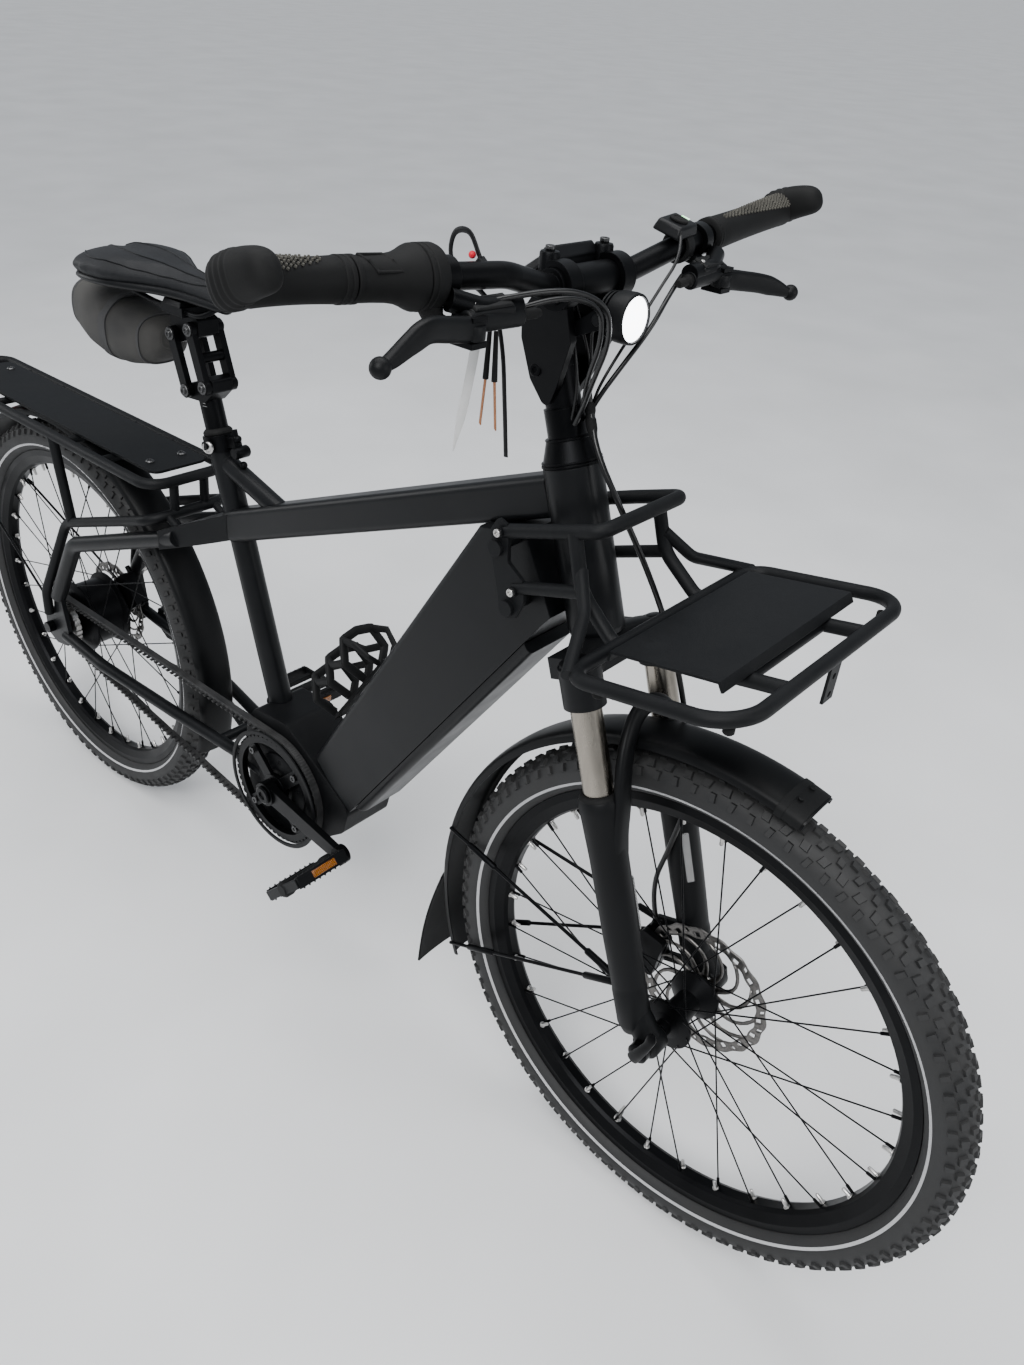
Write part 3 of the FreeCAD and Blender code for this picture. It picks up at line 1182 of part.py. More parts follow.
def cable(points, radius):
    """A cable along its route, each arc as large as its two runs allow; prints the tightest one."""
    edges = []
    start = points[0]
    tightest = 1e9
    for i in range(1, len(points) - 1):
        corner = points[i]
        back, ahead = points[i - 1] - corner, points[i + 1] - corner
        shorter = min(back.Length, ahead.Length)
        back.normalize()
        ahead.normalize()
        half_turn = (math.pi - back.getAngle(ahead)) / 2
        reach = 0.45 * shorter
        bend = reach / math.tan(half_turn)
        tightest = min(tightest, bend)
        first, last = corner + back * reach, corner + ahead * reach
        inward = (back + ahead).normalize()
        middle = corner + inward * (bend / math.cos(half_turn) - bend)
        edges.append(Part.LineSegment(start, first).toShape())
        edges.append(Part.Arc(first, middle, last).toShape())
        start = last
    edges.append(Part.LineSegment(start, points[-1]).toShape())
    path = Part.Wire(edges)
    section = Part.Wire([Part.Circle(points[0], points[1] - points[0], radius).toShape()])
    solid = path.makePipeShell([section], True, False)
    share = solid.Volume / (math.pi * radius ** 2 * path.Length)
    print("cable length %.0f mm, tightest radius %.0f mm, volume ratio %.3f" % (path.Length, tightest, share))
    return solid


CABLE_ROUTES = {
    "right_hose": (2.5, [(1050, -134, 1132), (1062, -96, 1142), (1076, -50, 1132), (1074, -38, 1098),
                         (1054, -26, 1056), (1041, -8, 1024), (1034, -7, 1004)]),
    "right_shift_cable": (2.5, [(1046, -200, 1140), (1076, -130, 1156), (1092, -66, 1142), (1088, -44, 1104),
                                (1066, -34, 1056), (1046, -15, 1024), (1037, -14, 1004)]),
    "left_hose": (2.5, [(1052, 116, 1134), (1062, 84, 1124), (1068, 50, 1096), (1056, 24, 1058),
                        (1046, 6, 1028), (1036, 4, 1004)]),
    "remote_lead": (1.6, [(1043, 116, 1172), (1058, 100, 1156), (1056, 74, 1128), (1052, 50, 1096),
                          (1044, 18, 1050), (1038, 12, 1026), (1035, 11, 1004)]),
    "fork_hose": (3.2, [(1034, 4, 1040), (1044, 2, 1014), (1064, -10, 984), (1100, -8, 936), (1124, 10, 884),
                        on_steerer(20, 66, 32), on_steerer(-60, 70, 44), on_steerer(-190, 69, 43),
                        on_steerer(-270, 30, 40), on_steerer(-340, -12, 43), on_steerer(-390, -15.3, 49)]),
}


def make_cables():
    solids = []
    for radius, route in CABLE_ROUTES.values():
        solids.append(cable([vec(*point) for point in route], radius))
    feature("cables", solids)


# ---------- the whole bike ----------

def build():
    make_head_tube()
    make_top_tube()
    make_down_tube()
    make_battery_cover()
    make_motor()
    make_seat_tube()
    make_rear_stays()
    make_rear_rack()
    make_rack_plate()
    make_rear_fender()
    make_front_carrier()
    make_carrier_plate()
    make_carrier_side_plates()
    make_bottle_cage()
    make_seat_clamp()
    make_rear_light()
    make_wheels()
    make_axles()
    make_drive()
    make_pedals()
    make_fork_upper()
    make_fork_lowers()
    make_front_fender()
    caliper("front_caliper", FRONT_AXLE, size("front_rotor_offset"), 172, 78, 22)
    caliper("rear_caliper", REAR_AXLE, size("rear_rotor_offset"), 42, 71, 25)
    make_stem()
    make_handlebar()
    make_grips()
    make_twist_shifter()
    make_brake_mounts()
    make_brake_levers()
    make_display()
    make_remote()
    make_headlight()
    make_seatpost()
    make_link("seatpost_front_link", FRONT_PIVOT, True)
    make_link("seatpost_rear_link", REAR_PIVOT, False)
    make_saddle_mount()
    make_saddle()
    make_saddle_bag()
    make_kickstand()
    make_cables()


def lean_and_centre():
    """Lean the bike onto its stand and put the origin under the middle of its box."""
    lean = FreeCAD.Placement(ORIGIN, FreeCAD.Rotation(X_AXIS, -size("lean_angle")))
    for part in PARTS:
        part.Placement = lean.multiply(part.Placement)
    DOC.recompute()
    check()
    box = FreeCAD.BoundBox()
    for part in PARTS:
        box.add(part.Shape.optimalBoundingBox(False))
    shift = vec(-box.Center.x, -box.Center.y, -box.ZMin)
    for part in PARTS:
        part.Placement = at(shift.x, shift.y, shift.z).multiply(part.Placement)
    DOC.recompute()
    print("origin shift %.4f %.4f %.4f" % (shift.x, shift.y, shift.z))


def check():
    """Stop when an object failed or a sub-part's shape is missing or wrong."""
    failed = [obj for obj in DOC.Objects if {"Invalid", "Error"} & set(obj.State)]
    faults = ["%s %s" % (obj.Label, obj.State) for obj in failed]
    for part in PARTS:
        shape = part.Shape
        if shape.isNull() or not shape.isValid() or not shape.Solids:
            faults.append("%s has no valid shape" % part.Label)
    if faults:
        raise RuntimeError("; ".join(faults))


def export():
    os.makedirs("parts", exist_ok=True)
    for part in PARTS:
        part.Shape.exportStep("parts/%s.step" % part.Label)
    print("%d sub-parts" % len(PARTS))


build()
DOC.recompute()
lean_and_centre()
check()
export()
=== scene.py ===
import json
import math
import random
import bmesh
import bpy
from mathutils import Matrix, Vector
from mathutils.bvhtree import BVHTree


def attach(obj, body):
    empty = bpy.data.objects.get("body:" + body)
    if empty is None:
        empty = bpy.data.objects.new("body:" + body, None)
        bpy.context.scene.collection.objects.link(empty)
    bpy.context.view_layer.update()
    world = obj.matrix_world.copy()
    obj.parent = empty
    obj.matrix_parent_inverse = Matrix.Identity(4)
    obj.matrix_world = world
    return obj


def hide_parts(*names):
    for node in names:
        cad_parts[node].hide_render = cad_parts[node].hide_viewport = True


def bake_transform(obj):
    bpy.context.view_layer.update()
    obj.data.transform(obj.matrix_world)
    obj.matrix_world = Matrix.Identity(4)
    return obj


# A touring e-bike leaning onto its kickstand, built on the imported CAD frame.
# Pieces are drawn upright in millimetres (X forward from the rear axle, Y to the rider's left, Z up) and
# STANCE carries them into the row frame. The camera stands where the photographer stood.

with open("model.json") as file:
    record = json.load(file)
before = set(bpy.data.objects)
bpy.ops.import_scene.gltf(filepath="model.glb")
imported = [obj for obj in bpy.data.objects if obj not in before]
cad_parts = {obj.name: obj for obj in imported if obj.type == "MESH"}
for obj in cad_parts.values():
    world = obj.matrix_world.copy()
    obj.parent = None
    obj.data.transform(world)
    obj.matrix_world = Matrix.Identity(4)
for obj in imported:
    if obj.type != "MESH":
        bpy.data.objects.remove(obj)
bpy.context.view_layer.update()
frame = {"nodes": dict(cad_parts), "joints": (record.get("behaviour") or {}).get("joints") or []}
NODES = frame["nodes"]

LEAN = math.radians(-3)
WHEELBASE, AXLE_HEIGHT = 1286, 350
FRONT_AXLE = Vector((WHEELBASE, 0, AXLE_HEIGHT))
REAR_AXLE = Vector((0, 0, AXLE_HEIGHT))


def stance_matrix():
    """From the upright drawing in millimetres to the row frame in metres, fixed by the front wheel's joint."""
    turn = Matrix.Rotation(LEAN, 4, "X") @ Matrix.Scale(0.001, 4)
    spin = [joint for joint in frame["joints"] if joint["name"] == "front_wheel_spin"][0]
    return Matrix.Translation(Vector(spin["pos_m"]) - turn @ FRONT_AXLE) @ turn


STANCE = stance_matrix()


# ---------- materials ----------

def new_material(name, color, roughness, metallic=0.0):
    material = bpy.data.materials.new(name)
    material.use_nodes = True
    shader = material.node_tree.nodes["Principled BSDF"]
    shader.inputs["Base Color"].default_value = (*color, 1)
    shader.inputs["Roughness"].default_value = roughness
    shader.inputs["Metallic"].default_value = metallic
    material.diffuse_color = (*color, 1)
    return material, material.node_tree, shader


def add(tree, kind, settings=None, **inputs):
    """A node with its settings, and its inputs given as values or as sockets."""
    node = tree.nodes.new("ShaderNode" + kind)
    for key, value in (settings or {}).items():
        setattr(node, key, value)
    for key, value in inputs.items():
        numbered = key[0] == "i" and key[1:].isdigit()
        socket = node.inputs[int(key[1:]) if numbered else key.replace("_", " ")]
        if isinstance(value, bpy.types.NodeSocket):
            tree.links.new(value, socket)
        else:
            socket.default_value = value
    return node


def place(tree, scale=1.0, stretch=(1, 1, 1)):
    """Object coordinates, scaled."""
    where = add(tree, "TexCoord")
    spread = add(tree, "Mapping", Vector=where.outputs["Object"])
    spread.inputs["Scale"].default_value = [scale * s for s in stretch]
    return spread.outputs["Vector"]


def ramp(tree, factor, stops):
    node = add(tree, "ValToRGB", Fac=factor)
    elements = node.color_ramp.elements
    while len(elements) < len(stops):
        elements.new(0.5)
    for element, (where, color) in zip(elements, stops):
        element.position = where
        element.color = (*color, 1) if isinstance(color, tuple) else (color, color, color, 1)
    return node.outputs["Color"]


def add_bump(tree, shader, height, strength, distance=0.001, normal=None):
    bump = add(tree, "Bump", Strength=strength, Distance=distance, Height=height)
    if normal is not None:
        tree.links.new(normal, bump.inputs["Normal"])
    tree.links.new(bump.outputs["Normal"], shader.inputs["Normal"])


def soft_edges(tree, radius):
    """A normal that rounds hard CAD edges for the light."""
    return add(tree, "Bevel", {"samples": 4}, Radius=radius).outputs["Normal"]


def shaded(tree, shader, vector, dark, light, rough_low, rough_high, patch=14.0):
    """Slow variation of colour and gloss, as handled and dusty surfaces show."""
    cloud = add(tree, "TexNoise", Vector=vector, Scale=patch, Detail=6.0, Roughness=0.6)
    tree.links.new(ramp(tree, cloud.outputs["Fac"], [(0.35, dark), (0.7, light)]), shader.inputs["Base Color"])
    span = add(tree, "MapRange", Value=cloud.outputs["Fac"], From_Min=0.3, From_Max=0.7, To_Min=rough_low,
               To_Max=rough_high)
    tree.links.new(span.outputs["Result"], shader.inputs["Roughness"])
    return cloud


DEEPEN = 0.24


def coated(name, dark, light, rough, metallic=0.0, grain=900.0, bump=0.12, edge=0.0012, coat=0.0):
    """Painted, anodised or moulded surface: slow variation, a fine grain in the bump and rounded edges."""
    if max(light) < 0.04:
        dark, light = (tuple(c * DEEPEN for c in shade) for shade in (dark, light))
    material, tree, shader = new_material(name, dark, rough, metallic)
    vector = place(tree)
    shaded(tree, shader, vector, dark, light, rough - 0.06, rough + 0.08)
    fine = add(tree, "TexNoise", Vector=vector, Scale=grain, Detail=2.0)
    rounded = soft_edges(tree, edge) if edge else None
    add_bump(tree, shader, fine.outputs["Fac"], bump, 0.0004, rounded)
    shader.inputs["Coat Weight"].default_value = coat
    shader.inputs["Coat Roughness"].default_value = 0.25
    shader.inputs["Specular IOR Level"].default_value = 0.15
    return material


def metal(name, color, dull, rough, stretch=(1, 1, 1), grain=600.0, edge=0.0006):
    """Bare metal with fine brush lines along the direction that isn't stretched."""
    material, tree, shader = new_material(name, color, rough, 1.0)
    vector = place(tree, 1.0, stretch)
    lines = add(tree, "TexNoise", Vector=vector, Scale=grain, Detail=4.0, Roughness=0.7)
    tree.links.new(ramp(tree, lines.outputs["Fac"], [(0.3, dull), (0.7, color)]), shader.inputs["Base Color"])
    span = add(tree, "MapRange", Value=lines.outputs["Fac"], From_Min=0.3, From_Max=0.7, To_Min=rough - 0.07,
               To_Max=rough + 0.1)
    tree.links.new(span.outputs["Result"], shader.inputs["Roughness"])
    add_bump(tree, shader, lines.outputs["Fac"], 0.06, 0.0003, soft_edges(tree, edge))
    return material


def tread_rubber(name):
    """Tyre rubber: dusty on the raised parts, with faint moulding lines."""
    material, tree, shader = new_material(name, (0.03, 0.03, 0.032), 0.7)
    vector = place(tree)
    cloud = add(tree, "TexNoise", Vector=vector, Scale=26.0, Detail=8.0, Roughness=0.65)
    tree.links.new(ramp(tree, cloud.outputs["Fac"], [(0.3, (0.004, 0.0043, 0.0048)), (0.75, (0.017, 0.0168, 0.0165))]),
                   shader.inputs["Base Color"])
    span = add(tree, "MapRange", Value=cloud.outputs["Fac"], From_Min=0.3, From_Max=0.7, To_Min=0.55, To_Max=0.8)
    tree.links.new(span.outputs["Result"], shader.inputs["Roughness"])
    fine = add(tree, "TexNoise", Vector=vector, Scale=700.0, Detail=3.0)
    add_bump(tree, shader, fine.outputs["Fac"], 0.25, 0.0006)
    return material


def leather(name, dark, light, scale=420.0):
    """Saddle cover: fine cells with a soft sheen."""
    material, tree, shader = new_material(name, dark, 0.5)
    vector = place(tree)
    shaded(tree, shader, vector, dark, light, 0.42, 0.58, 10.0)
    cells = add(tree, "TexVoronoi", {"feature": "DISTANCE_TO_EDGE"}, Vector=vector, Scale=scale)
    edge = add(tree, "MapRange", Value=cells.outputs["Distance"], From_Max=0.12)
    add_bump(tree, shader, edge.outputs["Result"], 0.3, 0.0005)
    shader.inputs["Specular IOR Level"].default_value = 0.22
    return material


def woven(name, dark, light, pitch=0.0011):
    """Cloth: two crossed sets of threads."""
    material, tree, shader = new_material(name, dark, 0.85)
    vector = place(tree, 0.5 / pitch)
    first = add(tree, "TexWave", {"bands_direction": "X"}, Vector=vector, Scale=1.0, Distortion=0.6)
    second = add(tree, "TexWave", {"bands_direction": "Z"}, Vector=vector, Scale=1.0, Distortion=0.6)
    weave = add(tree, "Math", {"operation": "MULTIPLY"}, i0=first.outputs["Fac"], i1=second.outputs["Fac"])
    cloud = add(tree, "TexNoise", Vector=place(tree), Scale=18.0, Detail=5.0)
    blend = add(tree, "Math", {"operation": "MULTIPLY_ADD"}, i0=weave.outputs[0], i1=0.45, i2=cloud.outputs["Fac"])
    tree.links.new(ramp(tree, blend.outputs[0], [(0.35, dark), (0.95, light)]), shader.inputs["Base Color"])
    add_bump(tree, shader, weave.outputs[0], 0.5, 0.0006)
    shader.inputs["Sheen Weight"].default_value = 0.03
    shader.inputs["Sheen Roughness"].default_value = 0.5
    return material


def glowing(name, color, strength):
    """The lit face behind the lamp's lens: a soft cell pattern of light."""
    material, tree, shader = new_material(name, (0.8, 0.8, 0.8), 0.2)
    cells = add(tree, "TexVoronoi", Vector=place(tree), Scale=130.0)
    light = ramp(tree, cells.outputs["Distance"], [(0.0, (1.0, 0.98, 0.96)), (0.8, color)])
    tree.links.new(light, shader.inputs["Emission Color"])
    shader.inputs["Emission Strength"].default_value = strength
    return material


def reflector(name, dark, light, pitch=0.0022):
    """Moulded prisms in a small square lattice."""
    material, tree, shader = new_material(name, light, 0.18)
    vector = place(tree, 0.5 / pitch)
    first = add(tree, "TexWave", {"bands_direction": "Z"}, Vector=vector, Scale=1.0)
    second = add(tree, "TexWave", {"bands_direction": "DIAGONAL"}, Vector=vector, Scale=1.0)
    cells = add(tree, "Math", {"operation": "MULTIPLY"}, i0=first.outputs["Fac"], i1=second.outputs["Fac"])
    tree.links.new(ramp(tree, cells.outputs[0], [(0.1, dark), (0.6, light)]), shader.inputs["Base Color"])
    add_bump(tree, shader, cells.outputs[0], 0.7, 0.0008)
    shader.inputs["Coat Weight"].default_value = 0.8
    return material


def belt_material(name):
    """Belt rubber with its moulded cross ribs."""
    material, tree, shader = new_material(name, (0.03, 0.03, 0.03), 0.55)
    vector = place(tree)
    shaded(tree, shader, vector, (0.009, 0.009, 0.0095), (0.024, 0.024, 0.024), 0.45, 0.65, 40.0)
    ribs = add(tree, "TexWave", {"bands_direction": "X"}, Vector=place(tree, 90.0), Scale=1.0)
    add_bump(tree, shader, ribs.outputs["Fac"], 0.4, 0.0008, soft_edges(tree, 0.0006))
    return material


BLACKS = ((0.012, 0.013, 0.015), (0.024, 0.025, 0.028))
MATERIALS = {
    "paint": coated("frame_paint", (0.011, 0.0125, 0.015), (0.021, 0.023, 0.026), 0.42, 0.2, 1600.0, 0.16, 0.002, 0.12),
    "shell": coated("motor_paint", (0.010, 0.011, 0.013), (0.022, 0.023, 0.026), 0.5, 0.3, 1100.0, 0.3, 0.003),
    "metal": coated("anodised_black", *BLACKS, 0.38, 0.7, 1400.0, 0.1, 0.0012),
    "powder": coated("powder_coat", (0.014, 0.0155, 0.018), (0.027, 0.029, 0.032), 0.52, 0.1, 1000.0, 0.45, 0.0012),
    "plastic": coated("grained_plastic", (0.016, 0.017, 0.018), (0.03, 0.031, 0.032), 0.58, 0.0, 760.0, 0.4, 0.001),
    "cover": coated("smooth_plastic", (0.010, 0.011, 0.013), (0.02, 0.021, 0.024), 0.36, 0.0, 1500.0, 0.05, 0.002,
                    0.06),
    "rubber": coated("soft_rubber", (0.014, 0.0145, 0.015), (0.034, 0.034, 0.034), 0.66, 0.0, 500.0, 0.3, 0.0008),
    "hose": coated("hose_jacket", (0.010, 0.010, 0.011), (0.02, 0.02, 0.021), 0.3, 0.0, 900.0, 0.05, 0.0, 0.4),
    "tyre": tread_rubber("tyre_rubber"),
    "stripe": reflector("tyre_stripe", (0.42, 0.42, 0.43), (0.62, 0.62, 0.63), 0.0009),
    "steel": metal("bare_steel", (0.62, 0.61, 0.59), (0.40, 0.39, 0.38), 0.3),
    "rotor": metal("rotor_steel", (0.20, 0.19, 0.18), (0.10, 0.098, 0.095), 0.34, (1, 1, 1), 300.0),
    "stanchion": metal("stanchion_coating", (0.34, 0.31, 0.265), (0.27, 0.245, 0.21), 0.22, (1, 1, 0.02), 90.0),
    "leather": leather("saddle_cover", (0.005, 0.0055, 0.0065), (0.012, 0.0125, 0.014)),
    "cloth": woven("bag_cloth", (0.010, 0.010, 0.010), (0.042, 0.040, 0.036)),
    "lamp_glow": glowing("lamp_glow", (0.92, 0.95, 1.0), 9.0),
    "amber": reflector("amber_reflector", (0.10, 0.028, 0.0), (0.42, 0.14, 0.008)),
    "white_prism": reflector("white_reflector", (0.12, 0.12, 0.12), (0.42, 0.42, 0.42)),
    "red_lens": reflector("red_lens", (0.16, 0.0, 0.0), (0.5, 0.01, 0.01), 0.003),
    "belt": belt_material("belt_rubber"),
    "paper": coated("paper_tag", (0.55, 0.55, 0.54), (0.7, 0.7, 0.69), 0.7, 0.0, 300.0, 0.1, 0.0),
    "red": coated("red_plastic", (0.45, 0.01, 0.02), (0.6, 0.02, 0.04), 0.4, 0.0, 800.0, 0.1, 0.0),
    "screen": coated("dark_screen", (0.004, 0.005, 0.006), (0.008, 0.009, 0.011), 0.12, 0.0, 200.0, 0.01, 0.0, 0.8),
    "copper": metal("wire_end", (0.5, 0.25, 0.14), (0.3, 0.14, 0.08), 0.4),
    "satin": coated("satin_casting", (0.008, 0.009, 0.0105), (0.016, 0.0175, 0.02), 0.46, 0.0, 1300.0, 0.15, 0.0),
    "guard": coated("mudguard_plastic", (0.007, 0.008, 0.009), (0.015, 0.016, 0.018), 0.42, 0.0, 900.0, 0.12, 0.0),
    "patch": coated("grey_patch", (0.05, 0.05, 0.052), (0.075, 0.075, 0.077), 0.6, 0.0, 500.0, 0.2, 0.0),
    "lattice": coated("lattice_rubber", (0.05, 0.048, 0.042), (0.11, 0.105, 0.09), 0.6, 0.0, 400.0, 0.2, 0.0),
    "webbing": woven("binding_tape", (0.008, 0.008, 0.009), (0.03, 0.03, 0.031), 0.0008),
    "steel_dark": metal("dark_screw", (0.12, 0.12, 0.12), (0.05, 0.05, 0.052), 0.36),
    "engraved": coated("engraved_mark", (0.18, 0.18, 0.18), (0.26, 0.26, 0.26), 0.5, 0.0, 500.0, 0.1, 0.0),
    "green_light": glowing("green_light", (0.05, 0.9, 0.15), 1.6),
}

CAD_FINISH = {
    "paint": ["head_tube", "top_tube", "down_tube", "seat_tube", "rear_stays", "fork_crown"],
    "shell": ["motor"],
    "cover": ["battery_cover"],
    "powder": ["rear_rack", "rear_rack_plate", "front_carrier", "carrier_plate", "carrier_side_plates", "fork_lowers",
               "stand_bracket", "kickstand", "rear_fender", "front_fender"],
    "metal": ["stem", "handlebar", "seat_clamp", "seatpost", "seatpost_front_link", "seatpost_rear_link",
              "saddle_mount", "crank_arms", "front_sprocket", "front_hub", "rear_hub", "front_rim", "rear_rim",
              "front_spokes", "rear_spokes", "brake_mounts", "brake_lever_right", "brake_lever_left", "front_caliper",
              "rear_caliper", "headlight", "front_axle", "rear_axle"],
    "plastic": ["remote", "remote_pad", "bottle_cage", "twist_shifter", "pedal_right", "pedal_left", "display"],
    "rubber": ["grips"],
    "hose": ["cables"],
    "tyre": ["front_tyre", "rear_tyre"],
    "rotor": ["front_rotor", "rear_rotor"],
    "stanchion": ["stanchions"],
    "steel": ["rear_sprocket"],
    "leather": ["saddle"],
    "cloth": ["saddle_bag"],
    "belt": ["drive_belt"],
    "red_lens": ["rear_light"],
}


def finish_cad_nodes():
    for finish, names in CAD_FINISH.items():
        for name in names:
            slots = NODES[name].data.materials
            slots.clear()
            slots.append(MATERIALS[finish])


# ---------- mesh helpers ----------

def piece(name, bm, body, finish, replaces=(), smooth=35, levels=0, bevel=0.0):
    """Turn a bmesh drawn upright in millimetres into a piece that rides on a CAD body."""
    bmesh.ops.recalc_face_normals(bm, faces=bm.faces)
    mesh = bpy.data.meshes.new(name)
    bm.to_mesh(mesh)
    bm.free()
    mesh.transform(STANCE)
    obj = bpy.data.objects.new(name, mesh)
    bpy.context.scene.collection.objects.link(obj)
    mesh.materials.append(MATERIALS[finish])
    dress(obj, body, replaces, smooth, levels, bevel)
    return obj


def dress(obj, body, replaces=(), smooth=35, levels=0, bevel=0.0):
    """Smooth shading, edge bevel and subdivision, then the body it rides on."""
    mesh = obj.data
    if smooth and obj.type == "MESH":
        mesh.polygons.foreach_set("use_smooth", [True] * len(mesh.polygons))
        if smooth < 180:
            mesh.set_sharp_from_angle(angle=math.radians(smooth))
    if bevel:
        chamfer = obj.modifiers.new("edges", "BEVEL")
        chamfer.width = bevel / 1000
        chamfer.segments = 2
        chamfer.limit_method = "ANGLE"
        chamfer.angle_limit = math.radians(35)
        chamfer.harden_normals = False
    if levels:
        subdivide = obj.modifiers.new("form", "SUBSURF")
        subdivide.levels = subdivide.render_levels = levels
    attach(obj, body)
    if replaces:
        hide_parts(*replaces)


def ring_faces(bm, rings, closed=True, capped=True):
    """Skin a row of rings of points with quads."""
    rows = [[bm.verts.new(point) for point in ring] for ring in rings]
    count = len(rows[0])
    span = count if closed else count - 1
    for a, b in zip(rows[:-1], rows[1:]):
        for i in range(span):
            j = (i + 1) % count
            bm.faces.new((a[i], a[j], b[j], b[i]))
    if capped and closed:
        bm.faces.new(reversed(rows[0]))
        bm.faces.new(rows[-1])
    return rows


def turned(bm, profile, centre, axis, steps=96, start=None):
    """Revolve a closed profile of (radius, along) points about an axis."""
    axis = Vector(axis).normalized()
    side = start or axis.orthogonal().normalized()
    across = axis.cross(side)
    rings = []
    for i in range(steps):
        angle = 2 * math.pi * i / steps
        out = side * math.cos(angle) + across * math.sin(angle)
        rings.append([bm.verts.new(Vector(centre) + out * r + axis * a) for r, a in profile])
    count = len(profile)
    for i in range(steps):
        a, b = rings[i], rings[(i + 1) % steps]
        for j in range(count):
            k = (j + 1) % count
            if profile[j][0] < 1e-6 and profile[k][0] < 1e-6:
                continue
            bm.faces.new((a[j], a[k], b[k], b[j]))
    bmesh.ops.remove_doubles(bm, verts=[v for ring in rings for v in ring], dist=1e-4)


def oval_ring(centre, right, up, half_wide, half_high, count=24, power=2.0):
    """A ring of points: an oval, squarer as the power rises."""
    ring = []
    for i in range(count):
        angle = 2 * math.pi * i / count
        c, s = math.cos(angle), math.sin(angle)
        x = math.copysign(abs(c) ** (2 / power), c) * half_wide
        y = math.copysign(abs(s) ** (2 / power), s) * half_high
        ring.append(Vector(centre) + Vector(right) * x + Vector(up) * y)
    return ring


def block(bm, centre, size, right=(1, 0, 0), up=(0, 0, 1), taper=1.0):
    """A block along its own axes, its top smaller by the taper."""
    right, up = Vector(right).normalized(), Vector(up).normalized()
    deep = up.cross(right)
    base = Vector(centre)
    corners = []
    for z, share in ((-1, 1.0), (1, taper)):
        for x, y in ((-1, -1), (1, -1), (1, 1), (-1, 1)):
            corners.append(bm.verts.new(base + right * (x * size[0] / 2 * share) + deep * (y * size[1] / 2 * share)
                                        + up * (z * size[2] / 2)))
    for face in ((3, 2, 1, 0), (4, 5, 6, 7), (0, 1, 5, 4), (1, 2, 6, 5), (2, 3, 7, 6), (3, 0, 4, 7)):
        bm.faces.new([corners[i] for i in face])


def smooth_line(points, per_span=8):
    """Points along a smooth curve through the given ones."""
    line = []
    ends = [points[0] * 2 - points[1]] + list(points) + [points[-1] * 2 - points[-2]]
    for i in range(1, len(ends) - 2):
        p0, p1, p2, p3 = ends[i - 1:i + 3]
        for step in range(per_span):
            t = step / per_span
            line.append(0.5 * ((2 * p1) + (p2 - p0) * t + (2 * p0 - 5 * p1 + 4 * p2 - p3) * t ** 2
                               + (3 * p1 - p0 - 3 * p2 + p3) * t ** 3))
    line.append(points[-1])
    return line


def sweep(bm, line, radii, count=16, squash=1.0, up=(0, 0, 1)):
    """A tube of changing radius along a line of points."""
    rings = []
    for i, point in enumerate(line):
        ahead = (line[min(i + 1, len(line) - 1)] - line[max(i - 1, 0)]).normalized()
        right = ahead.cross(Vector(up)).normalized()
        high = right.cross(ahead)
        radius = radii[i] if isinstance(radii, (list, tuple)) else radii
        rings.append(oval_ring(point, right, high, radius, radius * squash, count))
    ring_faces(bm, rings)


# ---------- wheels ----------

TREAD_PITCHES = 92
KNOB_ROWS = [  # lateral angle in degrees, size along, size across, height, phase
    (0, 9.0, 7.0, 3.0, 0.0), (19, 8.0, 8.0, 3.2, 0.5), (-19, 8.0, 8.0, 3.2, 0.5),
    (42, 10.0, 9.0, 3.6, 0.0), (-42, 10.0, 9.0, 3.6, 0.0), (66, 7.0, 10.0, 3.4, 0.5), (-66, 7.0, 10.0, 3.4, 0.5),
]


def tyre_point(axle, turn, lateral, height):
    """A point over the carcass: angle round the wheel, angle across the section, height above the rubber."""
    section, centre = 26.4 + height, 320
    out = centre + section * math.cos(lateral)
    return axle + Vector((math.cos(turn) * out, math.sin(lateral) * (section + 1.5), math.sin(turn) * out))


def make_tyre(prefix, axle):
    """Carcass with sidewall ribs, a reflective line, and moulded knobs over the crown."""
    bm = bmesh.new()
    profile = []
    for step in range(41):
        lateral = math.radians(-150 + 300 * step / 40)
        ridge = 0.5 if step in (6, 34) else 0.0
        point = tyre_point(Vector((0, 0, 0)), 0, lateral, ridge)
        profile.append((point.x, point.y))
    profile = [(radius, along) for radius, along in profile if radius > 297.5]
    profile += [(298.2, profile[-1][1] - 3), (298.2, profile[0][1] + 3)]
    turned(bm, profile, axle, (0, 1, 0), 180, Vector((1, 0, 0)))
    carcass = piece(prefix + "_tyre_carcass", bm, prefix + "_wheel", "tyre", [prefix + "_tyre"], 60)
    knobs = bmesh.new()
    rng = random.Random(7)
    for lateral, along, across, height, phase in KNOB_ROWS:
        for i in range(TREAD_PITCHES):
            add_knob(knobs, axle, 2 * math.pi * (i + phase) / TREAD_PITCHES, math.radians(lateral), along, across,
                     height + rng.uniform(-0.2, 0.2), i % 2)
    piece(prefix + "_tyre_knobs", knobs, prefix + "_wheel", "tyre", (), 30)
    for side in (-1, 1):
        make_stripe(prefix, axle, side)
    return carcass


